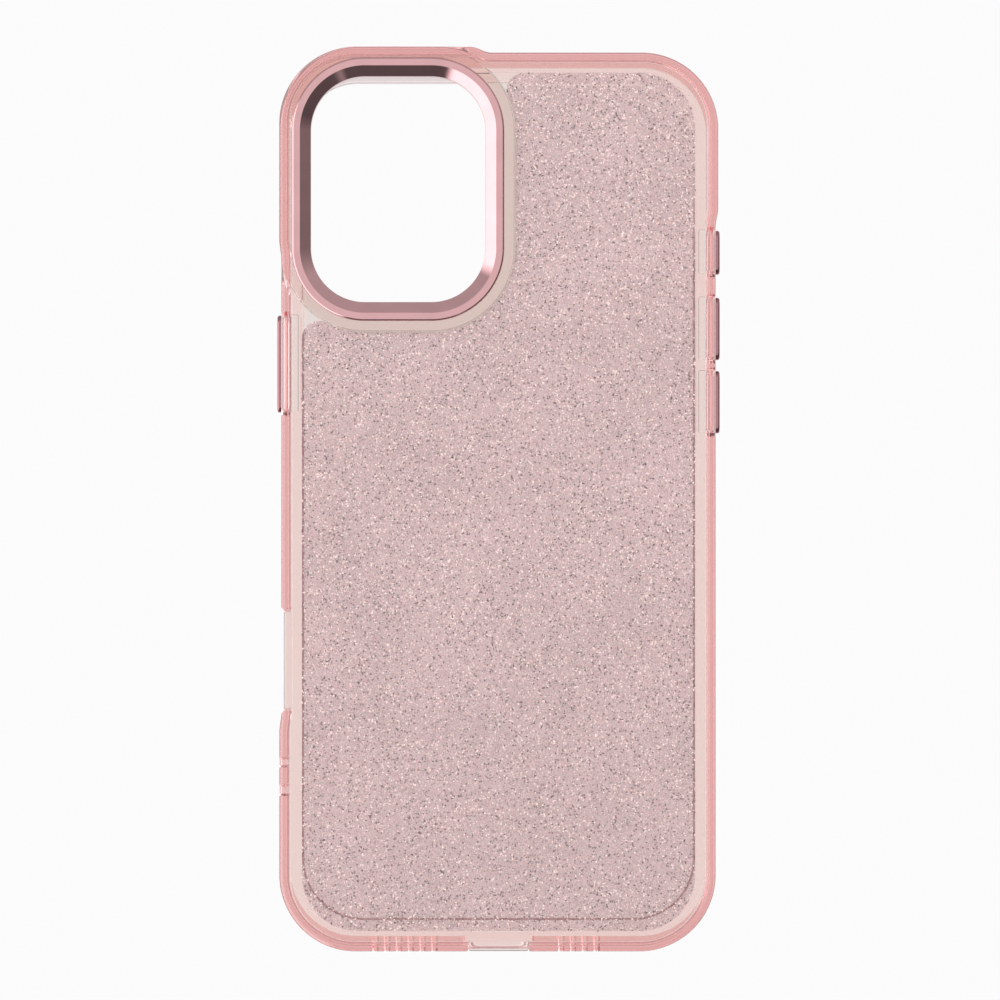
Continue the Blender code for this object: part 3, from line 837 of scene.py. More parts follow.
class Family(Enum):
    """The outline that a line along the bumper keeps its distance from."""

    OUTER = "the case's swollen outline"
    PLAIN = "the case's plain outline"
    CAVITY = "the room for the phone"


@dataclass(frozen=True)
class Line:
    """One line along the bumper: its outline, its distance in from it and its height."""

    family: Family
    inset: float
    y: float
    raised: bool = False


@dataclass(frozen=True)
class ButtonSpec:
    """A push button's name, side and fit in the bumper."""

    name: str
    side: Side
    cap_gap: float = 0.2 * MM
    web_thickness: float = 0.75 * MM
    flex_slot: tuple[float, float] = (34.6 * MM, 35.6 * MM)

    @property
    def cap(self) -> str:
        """The cap's node."""
        return f"{self.name}_cap"

    @property
    def pad(self) -> str:
        """The pad's node."""
        return f"{self.name}_pad"

    def outline(self, node: str, growth: float = 0.0, rounding: float = 0.49) -> RoundedRectangle:
        """The node's outline on the side wall, through the case's depth and along its length."""
        low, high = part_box(node)
        middle, half = (low + high) / 2, (high - low) / 2
        shape = RoundedRectangle(half.y, half.z, 2 * half.y * rounding, (middle.y, middle.z))
        return shape.grown(growth)


BUTTONS = (
    ButtonSpec("action_button", Side.RIGHT),
    ButtonSpec("volume_up_button", Side.RIGHT),
    ButtonSpec("volume_down_button", Side.RIGHT),
    ButtonSpec("power_button", Side.LEFT),
)


@dataclass
class Bumper:
    """The soft tinted frame with its lip, ledge and openings."""

    layout: CaseLayout
    buttons: Sequence[ButtonSpec] = BUTTONS
    steps: Steps = Steps(corner=44, across=130, along=340)
    edge_radius: float = 1.0 * MM
    pocket_edge: float = 0.25 * MM
    groove: float = 0.12 * MM  # how deep the rim dips along its middle
    cavity_fillet: float = 0.2 * MM
    lip_overhang: float = 2.25 * MM
    lip_under_edge: float = 0.35 * MM
    lip_front_edge: float = 0.55 * MM
    lip_height: float = 1.3 * MM
    flex_draft: float = 0.08 * MM
    plate_depth: float = 1.3 * MM  # from the glitter film's back to the case's
    slot_flare: float = 0.15 * MM
    lanyard_flare: float = 0.25 * MM
    clearance: float = 0.5 * MM  # how far cutters run into the cavity
    ledge_back: float = -0.75 * MM
    island_rise: float = 0.8 * MM
    island_growth: float = 0.6 * MM
    island_fillet: float = 0.45 * MM
    support: float = 0.08 * MM  # lines this close to a rounding keep the flats flat
    reach: float = 4.0 * MM
    flare: float = 0.3 * MM
    level: float = 3.98 * MM  # height of the port and sound holes over the floor
    opening_front: float = 6.65 * MM
    control_centre: float = -27.35 * MM
    control_length: float = 17.1 * MM
    control_scoop: float = 0.45 * MM
    lanyard_slots: tuple[Flat, ...] = ((-45.05 * MM, 1.9 * MM), (-49.85 * MM, 2.1 * MM))  # place, length
    lanyard_depth: float = 2.8 * MM
    port: tuple[float, float] = (10.5 * MM, 2.5 * MM)  # width, corner radius
    port_relief: tuple[float, float] = (12.2 * MM, 0.9 * MM)  # width, depth
    sound_radius: float = 0.6 * MM
    sound_pitch: float = 2.04 * MM
    sound_rows: tuple[tuple[int, float], ...] = ((6, -21.3 * MM), (4, 10.85 * MM))  # count, first place

    def __post_init__(self) -> None:
        """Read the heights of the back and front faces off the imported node."""
        self.back_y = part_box("glitter_film")[0].y - self.plate_depth
        self.front_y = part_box("bumper_frame")[1].y
        self.lip_under = self.front_y - self.lip_height

    def lines(self) -> list[Line]:
        """The cross-section as lines along the bumper, in order round it."""
        back, front, under = self.back_y, self.front_y, self.lip_under
        rim, edge, near = self.layout.rim_width, self.edge_radius, self.support
        window = rim + self.layout.ledge_width
        found = [Line(Family.OUTER, rim, self.ledge_back)]
        found += self._arc(Family.PLAIN, (window - 0.1 * MM, self.ledge_back + 0.1 * MM), 0.1 * MM, -90, 0, 3)
        found += self._arc(Family.PLAIN, (window - 0.1 * MM, -0.1 * MM), 0.1 * MM, 0, 90, 3)
        fillet = self.cavity_fillet
        found += [Line(Family.CAVITY, fillet + near, 0.0)]
        found += self._arc(Family.CAVITY, (fillet, fillet), fillet, 270, 180, 3)
        found += [Line(Family.CAVITY, 0.0, under / 2)]
        found += self._arc(Family.CAVITY, (fillet, under - fillet), fillet, 180, 90, 3)
        lower, upper, over = self.lip_under_edge, self.lip_front_edge, self.lip_overhang
        found += [Line(Family.CAVITY, over - lower - near, under)]
        found += self._arc(Family.CAVITY, (over - lower, under + lower), lower, -90, 0, 5)
        found += self._arc(Family.CAVITY, (over - upper, front - upper), upper, 0, 90, 6)
        found += [Line(Family.CAVITY, over - upper - near, front), Line(Family.OUTER, edge + near, front)]
        found += self._arc(Family.OUTER, (edge, front - edge), edge, 90, 180, 10)
        found += [Line(Family.OUTER, 0.0, front - edge - near)]
        found += [Line(Family.OUTER, 0.0, height * MM) for height in (6.0, 4.0, 2.0, 0.8)]
        found += [Line(Family.OUTER, 0.0, back + edge + near, True)]
        found += self._arc(Family.OUTER, (edge, back + edge), edge, 180, 270, 10, True)
        small = self.pocket_edge
        flat_start, flat_end = edge + near, rim - small - near
        found.append(Line(Family.OUTER, flat_start, back, True))
        for share in (0.2, 0.4, 0.6, 0.8):
            inset = flat_start + share * (flat_end - flat_start)
            found.append(Line(Family.OUTER, inset, back + self.groove * math.sin(math.pi * share) ** 2, True))
        found.append(Line(Family.OUTER, flat_end, back, True))
        found += self._arc(Family.OUTER, (rim - small, back + small), small, -90, 0, 3, True)
        found += [Line(Family.OUTER, rim, self.ledge_back - 0.3 * MM, False)]
        return found

    @staticmethod
    def _arc(
        family: Family,
        centre: Flat,
        radius: float,
        start: float,
        end: float,
        count: int,
        raised: bool = False,
    ) -> list[Line]:
        """Lines on a rounding whose centre is (inset, height)."""
        return [Line(family, inset, y, raised) for inset, y in turn(centre, radius, start, end, count)]

    def loop(self, line: Line) -> list[Place]:
        """The points of one line."""
        if line.family is Family.CAVITY:
            flat = self.layout.cavity.grown(-line.inset).points(self.steps)
        elif line.family is Family.PLAIN:
            flat = self.layout.plain.grown(-line.inset).points(self.steps)
        else:
            flat = self.layout.outer(line.inset, self.steps)
        island = self.layout.island.grown(self.island_growth)
        half = self.island_fillet
        rise = self.island_rise if line.raised else 0.0
        return [(x, line.y - rise * ramp(island.depth(x, z), -half, half), z) for x, z in flat]

    def body(self) -> Piece:
        """The frame without its openings."""
        return loft("bumper", [self.loop(line) for line in self.lines()], joined=True)

    def side_cut(
        self, name: str, shape: RoundedRectangle, side: Side, ends: Flat, flare: float = 0.0
    ) -> Piece:
        """A cutter across one side wall, flared where it leaves the wall.

        Args:
            name: the cutter's name.
            shape: its outline through the depth and along the length.
            side: the wall it cuts.
            ends: its distances from the middle of the case.
            flare: how far its mouth widens.

        Returns:
            The cutter.
        """
        inner, outer = ends
        wall = self.layout.plain.half_u
        levels = [(inner, 0.0)]
        if flare:
            levels += [(wall - h, flare - g) for g, h in turn((0.0, flare), flare, 0, -90, 5)]
            levels = [levels[0]] + [(min(x, outer), growth) for x, growth in levels[1:]]
        levels.append((outer, flare))
        levels = [(side.value * height, growth) for height, growth in levels]
        return tower(name, shape, levels, Axis.ACROSS, Steps(corner=10))

    def button_cuts(self) -> list[Piece]:
        """Each button's slot, the pad's recess behind it and the flex slot in the ledge."""
        found = []
        wall = self.layout.plain.half_u
        for button in self.buttons:
            slot = button.outline(button.cap, button.cap_gap)
            recess = button.outline(button.pad, button.cap_gap)
            web = wall - button.web_thickness
            inside = wall - self.layout.side_wall - self.reach / 4
            name, side = button.name, button.side
            ends = (inside, wall + self.reach)
            found.append(self.side_cut(f"{name}_slot", slot, side, ends, self.slot_flare))
            found.append(self.side_cut(f"{name}_recess", recess, side, (inside, web)))
            low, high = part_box(button.cap)
            near, far = (side.value * end for end in button.flex_slot)
            half, length = abs(far - near) / 2, (high.z - low.z) / 2
            flex = RoundedRectangle(half, length, half / 2, ((near + far) / 2, (low.z + high.z) / 2))
            draft = self.flex_draft
            levels = [(self.ledge_back - 0.2 * MM, -draft), (0.1 * MM, draft)]
            found.append(tower(f"{name}_flex", flex, levels, Axis.THROUGH, Steps(corner=6)))
        return found

    def left_cuts(self) -> list[Piece]:
        """The camera-control cut-out with its scoop, and the two lanyard slots."""
        wall = self.layout.plain.half_u
        low = self.back_y - self.reach
        half_u, middle_u = (self.opening_front - low) / 2, (self.opening_front + low) / 2
        window = RoundedRectangle(half_u, self.control_length / 2, 0.6 * MM, (middle_u, self.control_centre))
        rim = wall - self.layout.rim_width
        found = [self.side_cut("control_window", window, Side.LEFT, (rim, wall + self.reach))]
        scoop_length = self.control_length / 2 + 0.2 * MM
        scoop = RoundedRectangle(30 * MM, scoop_length, 0.3 * MM, (0.0, self.control_centre))
        depth = wall - self.control_scoop
        levels = [(depth, 0.0), (depth + 0.15 * MM, 0.1 * MM), (depth + 0.45 * MM, 0.45 * MM)]
        levels.append((wall + 1.2 * MM, 1.4 * MM))
        levels = [(-height, growth) for height, growth in levels]
        found.append(tower("control_scoop", scoop, levels, Axis.ACROSS, Steps(corner=6)))
        for number, (place, length) in enumerate(self.lanyard_slots, 1):
            shape = RoundedRectangle(self.lanyard_depth / 2, length / 2, 0.7 * MM, (self.level, place))
            ends = (wall - self.layout.side_wall - self.reach / 4, wall + self.reach)
            name = f"lanyard_slot_{number}"
            found.append(self.side_cut(name, shape, Side.LEFT, ends, self.lanyard_flare))
        return found

    def bottom_cuts(self) -> list[Piece]:
        """The port cut-out, the relief inside it and the sound holes."""
        end, front, flare = self.layout.plain.half_v, self.opening_front, self.flare
        inner, outer_end = end - self.layout.end_wall, -end - self.reach
        within = -inner + self.clearance
        width, radius = self.port
        shape = RoundedRectangle(width / 2, front, radius)
        levels = [(-end + self.layout.rim_width, 0.0), (-end + flare, 0.0), (-end, flare / 2)]
        levels.append((outer_end, flare))
        found = [tower("port_cut", shape, levels, Axis.ALONG, Steps(corner=12))]
        half = (front - radius) / 2
        throat = RoundedRectangle(width / 2, half, 0.2 * MM, (0.0, half))
        levels = [(outer_end, 0.0), (within, 0.0)]
        found.append(tower("port_throat", throat, levels, Axis.ALONG, Steps(corner=4)))
        relief_width, relief_depth = self.port_relief
        relief = RoundedRectangle(relief_width / 2, front / 2, 0.4 * MM, (0.0, front / 2))
        levels = [(-inner - relief_depth, 0.0), (within, 0.0)]
        found.append(tower("port_relief", relief, levels, Axis.ALONG, Steps(corner=6)))
        tree = hole_row_tree()
        size = self.sound_radius
        levels = [(outer_end, flare), (-end, flare), (-end + flare / 3, flare / 3), (-end + flare, 0.0)]
        levels.append((within, 0.0))
        cutter = tower("sound_hole", RoundedRectangle(size, size, size), levels, Axis.ALONG, Steps(corner=8))
        for number, (count, first) in enumerate(self.sound_rows, 1):
            values = {"Count": count, "Pitch": self.sound_pitch, "Cutter": cutter}
            values["First"] = (first, self.level, 0.0)
            found.append(tree.run(blank(f"sound_holes_{number}"), values))
        bpy.data.objects.remove(cutter)
        return found

    def build(self) -> Piece:
        """Make and dress the bumper."""
        bumper = self.body()
        cut(bumper, self.button_cuts())
        cut(bumper, self.left_cuts())
        cut(bumper, self.bottom_cuts())
        return finish_piece(bumper, CASE_BODY, SOFT_TPU.material(), ["bumper_frame"])


@dataclass
class BackPlate:
    """The clear hard plate with its camera island, its tabs and the hole for the ring."""

    layout: CaseLayout
    bumper: Bumper
    steps: Steps = Steps(corner=40, across=120, along=300)
    fit_gap: float = 0.1 * MM
    edge: float = 0.3 * MM
    foot: float = 0.3 * MM
    skirt_wall: float = 0.7 * MM
    tab_step: float = 0.12 * MM
    tab_edge: float = 0.1 * MM
    foot_steps: int = 6

    def __post_init__(self) -> None:
        """Read the plate's heights off its neighbours."""
        self.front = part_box("glitter_film")[0].y - self.fit_gap
        self.back = self.bumper.back_y
        self.island_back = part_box("back_plate")[0].y
        self.border = self.layout.rim_width + self.fit_gap

    def rounded_end(self, end: float, into: float, radius: float, count: int = 5) -> list[Flat]:
        """Levels of a rounded edge at one end of a tower, from its side to its face."""
        arc = turn((0.0, 0.0), radius, 0, -90, count)
        return [(end + into * (radius + h), -(radius - g)) for g, h in arc]

    def sheet(self, name: str, inset: float, levels: Iterable[Flat]) -> Piece:
        """A slab inside the case's swollen outline, at the given heights and growths."""
        outlines = ((height, self.layout.outer(inset - growth, self.steps)) for height, growth in levels)
        return loft(name, [[(x, height, z) for x, z in outline] for height, outline in outlines])

    def border_sheet(self) -> Piece:
        """The plate without its island."""
        front = self.front
        levels = [(front, -0.12 * MM), (front - 0.04 * MM, -0.04 * MM), (front - 0.12 * MM, 0.0)]
        levels += self.rounded_end(self.back, 1.0, self.edge)
        return self.sheet("plate", self.border, levels)

    def tabs(self) -> list[Piece]:
        """The two tabs in the bumper's notches."""
        plain = self.layout.plain
        low, high = self.back + self.tab_step, self.front - self.tab_step / 2
        gap, soft = self.fit_gap, self.tab_edge
        levels = [(low, -soft), (low + soft, 0.0), (high - soft, 0.0), (high, -soft)]
        width = self.bumper.port[0] / 2 - gap
        outer, inner = plain.half_v - self.tab_step, plain.half_v - self.border - 0.5 * MM
        port = RoundedRectangle(width, (outer - inner) / 2, 0.3 * MM, (0.0, -(outer + inner) / 2))
        length = self.bumper.control_length / 2 - gap
        outer, inner = plain.half_u - self.bumper.control_scoop, plain.half_u - self.border - 0.5 * MM
        place = (-(outer + inner) / 2, self.bumper.control_centre)
        control = RoundedRectangle((outer - inner) / 2, length, 0.3 * MM, place)
        shapes = enumerate((port, control))
        return [tower(f"tab_{i}", shape, levels, Axis.THROUGH, Steps(corner=6)) for i, shape in shapes]

    def island(self) -> Piece:
        """The raised island, with a soft foot where it leaves the plate."""
        foot, rise = self.foot, self.back - self.island_back
        middle = (self.back + self.front) / 2
        levels = [(middle, foot), (self.back + 0.02 * MM, foot)]
        for i in range(self.foot_steps + 1):
            angle = math.radians(90 * i / self.foot_steps)
            levels.append((self.back - foot * (1 - math.cos(angle)), foot * (1 - math.sin(angle))))
        edge = min(self.edge, rise - foot - 0.05 * MM)
        levels += self.rounded_end(self.island_back, 1.0, edge)
        block = tower("island", self.layout.island, levels, Axis.THROUGH, Steps(corner=40))
        levels = [(middle + 0.1 * MM, 0.0)] + self.rounded_end(self.island_back, 1.0, self.edge)
        limit = self.sheet("island_limit", self.border + 0.02 * MM, levels)
        cut(block, [limit], "INTERSECT")
        return block

    def boss(self) -> Piece:
        """The thickening inside the film's notch that reaches the floor of the case."""
        inner = self.layout.plain.grown(-self.layout.film_inset)
        ends = [((self.back + self.front) / 2, 0.0), (-0.1 * MM, 0.0), (0.0, -0.1 * MM)]
        block = tower("boss", inner, ends, Axis.THROUGH, Steps(corner=40))
        reach = [(-3 * MM, 0.0), (3 * MM, 0.0)]
        limit = tower("boss_limit", self.layout.island, reach, Axis.THROUGH, Steps(corner=40))
        cut(block, [limit], "INTERSECT")
        return block

    def build(self) -> Piece:
        """Make and dress the plate."""
        plate = self.border_sheet()
        cut(plate, [*self.tabs(), self.island(), self.boss()], "UNION")
        hole = self.layout.ring.grown(self.skirt_wall + self.fit_gap - self.layout.ring_band)
        ends = [(-8 * MM, 0.0), (8 * MM, 0.0)]
        cut(plate, [tower("camera_hole", hole, ends, Axis.THROUGH, Steps(corner=40))])
        plate.name = "clear_plate"
        return finish_piece(plate, CASE_BODY, CLEAR_PLATE.material(), ["back_plate"])


@dataclass
class GlitterLayers:
    """The glitter film, the flakes on both its faces and the clear liner in front of it."""

    layout: CaseLayout
    notch_gap: float = 0.1 * MM
    tip_radius: float = 3.0 * MM
    flake_gap: float = 0.05 * MM
    flake_tilt: float = math.radians(14)

    def outline(self) -> list[Flat]:
        """The film's outline: a rounded rectangle less the camera island, its two tips rounded."""
        inner = self.layout.plain.grown(-self.layout.film_inset)
        half_x, half_z, corner = inner.half_u, inner.half_v, inner.radius
        ring = self.layout.ring
        notch = ring.radius + self.layout.island_margin + self.notch_gap
        right_x = ring.centre[0] + ring.half_u - ring.radius
        left_x = ring.centre[0] - ring.half_u + ring.radius
        high_z = ring.centre[1] + ring.half_v - ring.radius
        low_z = ring.centre[1] - ring.half_v + ring.radius
        tip = self.tip_radius
        span = notch + tip
        top_x = right_x + math.sqrt(span**2 - (half_z - tip - high_z) ** 2)
        top_turn = math.degrees(math.atan2(half_z - tip - high_z, top_x - right_x))
        side_z = low_z - math.sqrt(span**2 - (-half_x + tip - left_x) ** 2)
        side_turn = math.degrees(math.atan2(side_z - low_z, -half_x + tip - left_x))
        found = turn((half_x - corner, corner - half_z), corner, -90, 0, 32)
        found += turn((half_x - corner, half_z - corner), corner, 0, 90, 32)
        found += turn((top_x, half_z - tip), tip, 90, 180 + top_turn, 14)
        found += turn((right_x, high_z), notch, top_turn, 0, 24)[1:]
        found += turn((right_x, low_z), notch, 0, -90, 32)
        found += turn((left_x, low_z), notch, -90, side_turn, 20)[:-1]
        found += turn((tip - half_x, side_z), tip, 180 + side_turn, 180, 14)
        found += turn((corner - half_x, corner - half_z), corner, 180, 270, 32)
        return found

    def layer(self, name: str, node: str) -> Piece:
        """A flat sheet with the film's outline at a node's heights."""
        low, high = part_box(node)
        flat = self.outline()
        work = bmesh.new()
        rows = [[work.verts.new((x, height, z)) for x, z in flat] for height in (low.y, high.y)]
        for triangle in filling(flat):
            for row in rows:
                work.faces.new([row[i] for i in triangle])
        for i in range(len(flat)):
            after = (i + 1) % len(flat)
            work.faces.new((rows[0][i], rows[0][after], rows[1][after], rows[1][i]))
        return mesh_object(name, work)

    def flake_bed(self, name: str, height: float, facing: int) -> Piece:
        """One face with the film's outline, to strew flakes on."""
        work = bmesh.new()
        flat = self.outline()
        points = [work.verts.new((x, height, z)) for x, z in flat]
        for triangle in filling(flat):
            work.faces.new([points[i] for i in triangle])
        for face in work.faces:
            face.normal_update()
            if face.normal.y * facing < 0:
                face.normal_flip()
        mesh = bpy.data.meshes.new(name)
        work.to_mesh(mesh)
        work.free()
        return linked(name, mesh)

    def build(self) -> None:
        """Make and dress the film, the flakes and the liner."""
        film = self.layer("glitter_sheet", "glitter_film")
        finish_piece(film, CASE_BODY, GLITTER.material(), ["glitter_film"])
        liner = self.layer("clear_sheet", "inner_liner")
        finish_piece(liner, CASE_BODY, CLEAR_LINER.material(), ["inner_liner"])
        tree = flake_tree()
        low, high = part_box("glitter_film")
        sides = (("back", low.y - self.flake_gap, -1, 1.0), ("front", high.y + self.flake_gap, 1, 0.5))
        sorts = (
            (FlakeFoil("bright_foil", (1.0, 0.98, 1.0), 0.9, 0.2), 1.9e6, 0.14 * MM, 11),
            (FlakeFoil("dark_foil", (0.13, 0.07, 0.08), 0.3, 0.5), 1.5e6, 0.125 * MM, 23),
            (FlakeFoil("rose_foil", (0.90, 0.68, 0.74), 0.8, 0.3), 0.9e6, 0.12 * MM, 37),
        )
        for foil, density, radius, seed in sorts:
            finish = foil.material()
            for where, height, facing, share in sides:
                bed = self.flake_bed(f"{foil.name}_{where}", height, facing)
                values = {
                    "Density": density * share,
                    "Flake Radius": radius,
                    "Tilt": self.flake_tilt,
                    "Seed": seed + facing,
                    "Finish": finish,
                }
                flakes = tree.run(bed, values)
                finish_piece(flakes, CASE_BODY, finish)


@dataclass
class CameraRing:
    """The plated ring round the camera window and the tape that holds it."""

    layout: CaseLayout
    crown: float = 0.45 * MM
    land: float = 0.9 * MM
    chamfer: tuple[float, float] = (1.9 * MM, 1.1 * MM)  # width, drop
    crisp: float = 0.04 * MM  # rounding of the chamfer's edges
    skirt_wall: float = 0.7 * MM
    foot_height: float = 1.25 * MM
    tape_inset: float = 0.3 * MM
    corner_steps: int = 64

    def profile(self) -> list[Flat]:
        """The ring's section: distance in from its outline, and height towards the viewer of the back."""
        low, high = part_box("camera_ring")
        back, foot, end = -low.y, -low.y - self.foot_height, -high.y
        band, wall = self.layout.ring_band, self.skirt_wall
        width, drop = self.chamfer
        slope = math.atan2(drop, width)
        small = self.crisp
        found = [(0.05 * MM, foot), (0.0, foot + 0.05 * MM), (0.0, back - self.crown - small)]
        found += turn((self.crown, back - self.crown), self.crown, 180, 90, 12)
        found += [(self.crown + small, back)]
        edge = self.crown + self.land
        found += [(edge - 2 * small, back), (edge - small, back)]
        found += [(edge + small * math.cos(slope), back - small * math.sin(slope))]
        found += [(edge + 2 * small * math.cos(slope), back - 2 * small * math.sin(slope))]
        low_edge = (band, back - drop)
        found += [(band - 2 * small * math.cos(slope), low_edge[1] + 2 * small * math.sin(slope))]
        found += [(band - small * math.cos(slope), low_edge[1] + small * math.sin(slope))]
        found += [(band, low_edge[1] - small), (band, low_edge[1] - 2 * small)]
        found += [(band, end + 0.05 * MM), (band - 0.05 * MM, end)]
        found += [(band - wall + 0.05 * MM, end), (band - wall, end + 0.05 * MM), (band - wall, foot)]
        return found

    def sweep(self, tree: GeometryTree, name: str, section: Sequence[Flat], material: Material) -> Piece:
        """A section run round the ring's outline.

        Args:
            tree: the tree that sweeps.
            name: the new object's name.
            section: (distance in from the outline, height towards the viewer of the back).
            material: the finish.

        Returns:
            The swept object.
        """
        ring = self.layout.ring
        profile = profile_curve(f"{name}_profile", [(-inset, -height) for inset, height in section])
        values = {
            "Width": 2 * ring.half_u,
            "Length": 2 * ring.half_v,
            "Corner Radius": ring.radius,
            "Corner Steps": self.corner_steps,
            "Profile": profile,
            "Centre": (ring.centre[0], 0.0, ring.centre[1]),
            "Finish": material,
        }
        made = tree.run(blank(name), values)
        bpy.data.objects.remove(profile)
        work = bmesh.new()
        work.from_mesh(made.data)
        bmesh.ops.remove_doubles(work, verts=work.verts, dist=0.001 * MM)
        bmesh.ops.recalc_face_normals(work, faces=work.faces)
        work.to_mesh(made.data)
        work.free()
        return made

    def build(self) -> None:
        """Make and dress the ring and its tape."""
        tree = sweep_tree()
        plating = ROSE_PLATING.material()
        ring = self.sweep(tree, "plated_ring", self.profile(), plating)
        finish_piece(ring, CASE_BODY, plating, ["camera_ring"])
        low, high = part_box("ring_adhesive")
        near, far = self.tape_inset, self.layout.ring_band - self.skirt_wall - self.tape_inset
        section = [(near, -high.y), (near, -low.y), (far, -low.y), (far, -high.y)]
        tape = TAPE.material()
        loop = self.sweep(tree, "ring_tape", section, tape)
        finish_piece(loop, CASE_BODY, tape, ["ring_adhesive"])


@dataclass
class PushButton:
    """A plated cap and the soft pad behind it."""

    spec: ButtonSpec
    edge: float = 0.35 * MM
    dome: float = 0.05 * MM
    pad_edge: float = 0.1 * MM

    def cap_levels(self) -> list[Flat]:
        """Heights from the case's middle and growths, from the cap's foot to its crown."""
        low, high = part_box(self.spec.cap)
        inner, outer = sorted((abs(low.x), abs(high.x)))
        levels = [(inner, -0.05 * MM), (inner + 0.05 * MM, 0.0), (outer - self.edge - 0.05 * MM, 0.0)]
        arc = turn((0.0, 0.0), self.edge, 0, 90, 8)
        levels += [(outer - self.edge + h, g - self.edge) for g, h in arc]
        width = (high.y - low.y) / 2
        for share in (0.08, 0.3, 0.6, 0.9):
            inset = self.edge + (width - self.edge) * share * 0.98
            levels.append((outer + self.dome * math.sin(share * math.pi / 2), -inset))
        return levels

    def build(self, plating: Material, rubber: Material) -> None:
        """Make and dress the cap and the pad."""
        side = self.spec.side.value
        levels = [(side * height, growth) for height, growth in self.cap_levels()]
        shape, steps = self.spec.outline(self.spec.cap), Steps(corner=16)
        cap = tower(f"{self.spec.name}_key", shape, levels, Axis.ACROSS, steps)
        finish_piece(cap, self.spec.name, plating, [self.spec.cap])
        low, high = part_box(self.spec.pad)
        inner, outer = sorted((abs(low.x), abs(high.x)))
        soft = self.pad_edge
        levels = [(inner, -soft), (inner + soft, 0.0), (outer - soft, 0.0), (outer, -soft)]
        levels = [(side * height, growth) for height, growth in levels]
        shape = self.spec.outline(self.spec.pad)
        pad = tower(f"{self.spec.name}_cushion", shape, levels, Axis.ACROSS, steps)
        finish_piece(pad, self.spec.name, rubber, [self.spec.pad])


# ---------------------------------------------------------------------------------------------------------
# Studio


def grey(value: float) -> Colour:
    """A colour without a tint."""
    return (value, value, value)


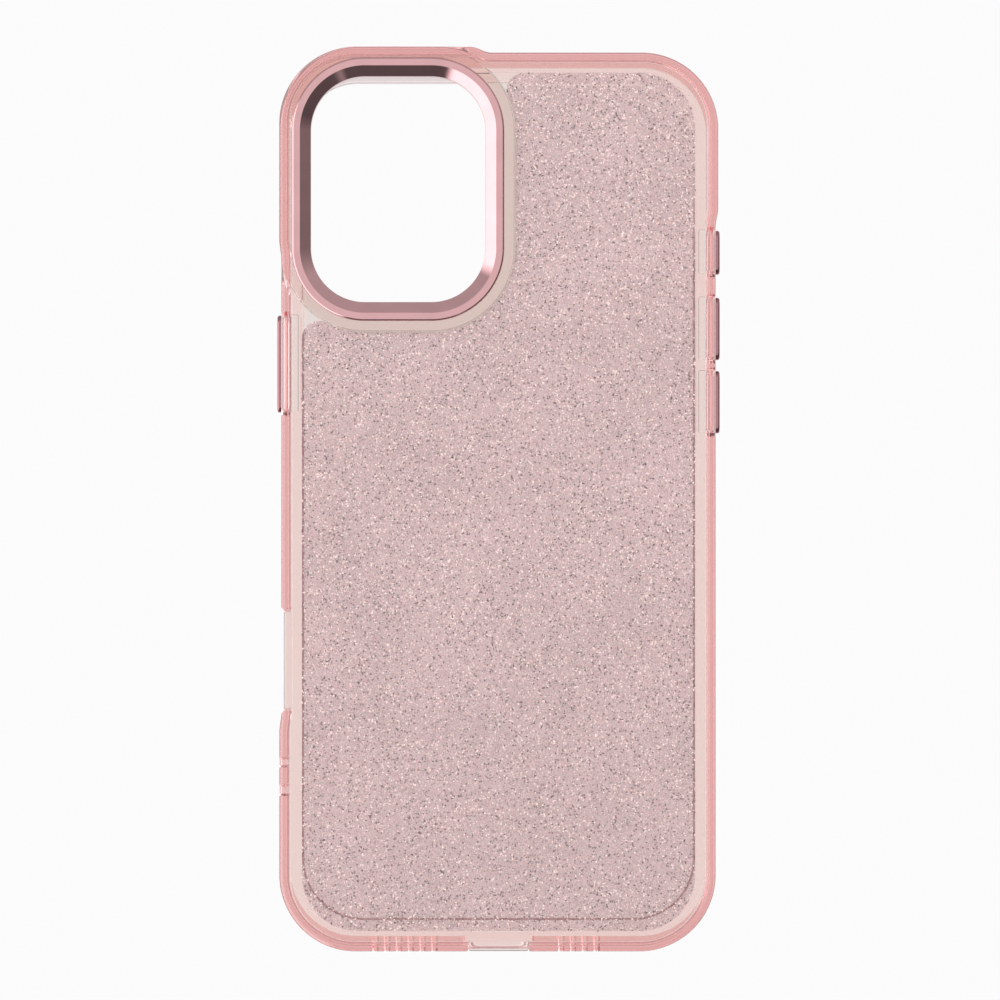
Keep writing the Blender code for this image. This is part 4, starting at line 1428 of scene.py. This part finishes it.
@dataclass
class Studio:
    """Camera, floor and soft light."""

    picture_width: float = 172.4 * MM  # what the picture spans at the case
    picture_shift: Flat = (0.26 * MM, 0.34 * MM)  # the case's middle, left of and below the picture's
    lens: float = 250.0
    sensor: float = 36.0
    floor_drop: float = 78 * MM
    floor_radius: float = 0.9
    backdrop: Colour = (0.975, 0.968, 0.975)
    front_light: float = 1.5  # how bright the tent is behind the viewer

    def camera(self) -> None:
        """A long lens square on the back of the case."""
        data = bpy.data.cameras.new("camera")
        data.lens, data.sensor_width = self.lens, self.sensor
        camera = linked("camera", data)
        distance = self.picture_width * self.lens / self.sensor
        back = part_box("bumper_frame")[0].y
        camera.location = (self.picture_shift[0], back - distance, self.picture_shift[1])
        camera.rotation_euler = (math.pi / 2, 0.0, 0.0)
        bpy.context.scene.camera = camera

    def floor(self) -> None:
        """A pale round floor below the case that fades out at its rim."""
        work = bmesh.new()
        bmesh.ops.create_circle(work, cap_ends=True, radius=self.floor_radius, segments=96)
        floor = mesh_object("floor", work)
        level = CAD_BOX[0].z - self.floor_drop
        floor.location = (0.0, 0.0, level)
        material, nodes = new_material("pale_floor")
        tones = ((0.3, (0.90, 0.89, 0.89)), (0.7, (0.93, 0.92, 0.92)))
        colour = nodes.ramp(nodes.noise(300.0, 2.0), tones)
        far = nodes.add("ShaderNodeVectorMath", {0: nodes.place()}, operation="LENGTH").outputs["Value"]
        alpha = nodes.spread(far, 0.35 * self.floor_radius, 0.97 * self.floor_radius, 1.0, 0.0)
        nodes.finish({"Base Color": colour, "Roughness": 0.8, "Alpha": alpha})
        floor.data.materials.append(material)
        floor.visible_glossy = False

    def light(self) -> None:
        """A tent round the case: a bright left side, a softer base, dark flags, and hoops in front."""
        world = bpy.data.worlds.new("studio")
        bpy.context.scene.world = world
        world.use_nodes = True
        nodes = Nodes(world.node_tree)
        way = nodes.add("ShaderNodeTexCoord").outputs["Generated"]
        parts = nodes.add("ShaderNodeSeparateXYZ", {"Vector": way}).outputs
        angle = nodes.math("ARCTAN2", parts["Z"], parts["X"])
        round_share = nodes.math("MULTIPLY_ADD", angle, 1 / math.tau, 0.5)
        stops = (
            (0.0, 3.3), (0.185, 3.3), (0.205, 0.20), (0.30, 0.20), (0.315, 0.6), (0.335, 0.20),
            (0.47, 0.20), (0.53, 0.55), (0.58, 0.90), (0.92, 0.90), (0.95, 3.3), (1.0, 3.3),
        )
        panels = nodes.ramp(round_share, tuple((at, grey(value)) for at, value in stops))
        towards = parts["Y"]
        front = nodes.spread(towards, -0.82, -0.60, 1.0, 0.0)
        rear = nodes.spread(towards, 0.15, 0.50, 0.0, 1.0)
        hoops = (
            (0.45, 0.50), (0.52, 1.40), (0.60, 0.45), (0.68, 1.00), (0.75, 1.40), (0.81, 0.70),
            (0.86, 0.28), (0.91, 0.50), (0.94, 1.10), (0.97, 0.84), (1.0, 0.80),
        )
        behind = nodes.ramp(towards, tuple((at, grey(value)) for at, value in hoops))
        lit = nodes.blend(front, panels, (*grey(self.front_light), 1.0))
        lit = nodes.blend(rear, lit, behind)
        seen = nodes.add("ShaderNodeLightPath").outputs["Is Camera Ray"]
        shown = nodes.blend(seen, lit, (*self.backdrop, 1.0))
        background = nodes.add("ShaderNodeBackground", {"Color": shown, "Strength": 1.0})
        nodes.add("ShaderNodeOutputWorld", {"Surface": background.outputs[0]})
        bpy.context.scene.view_settings.view_transform = "Standard"

    def build(self) -> None:
        """Set up the studio."""
        self.camera()
        self.floor()
        self.light()


def main() -> None:
    """Build the case's looks and the studio round it."""
    logging.basicConfig(level=logging.INFO, format="%(name)s %(message)s")
    layout = CaseLayout()
    Studio().build()
    bumper = Bumper(layout)
    bumper.build()
    BackPlate(layout, bumper).build()
    GlitterLayers(layout).build()
    CameraRing(layout).build()
    plating = BUTTON_PLATING.material()
    rubber = replace(SOFT_TPU, name="button_rubber").material()
    for spec in BUTTONS:
        PushButton(spec).build(plating, rubber)


if __name__ == "__main__":
    main()
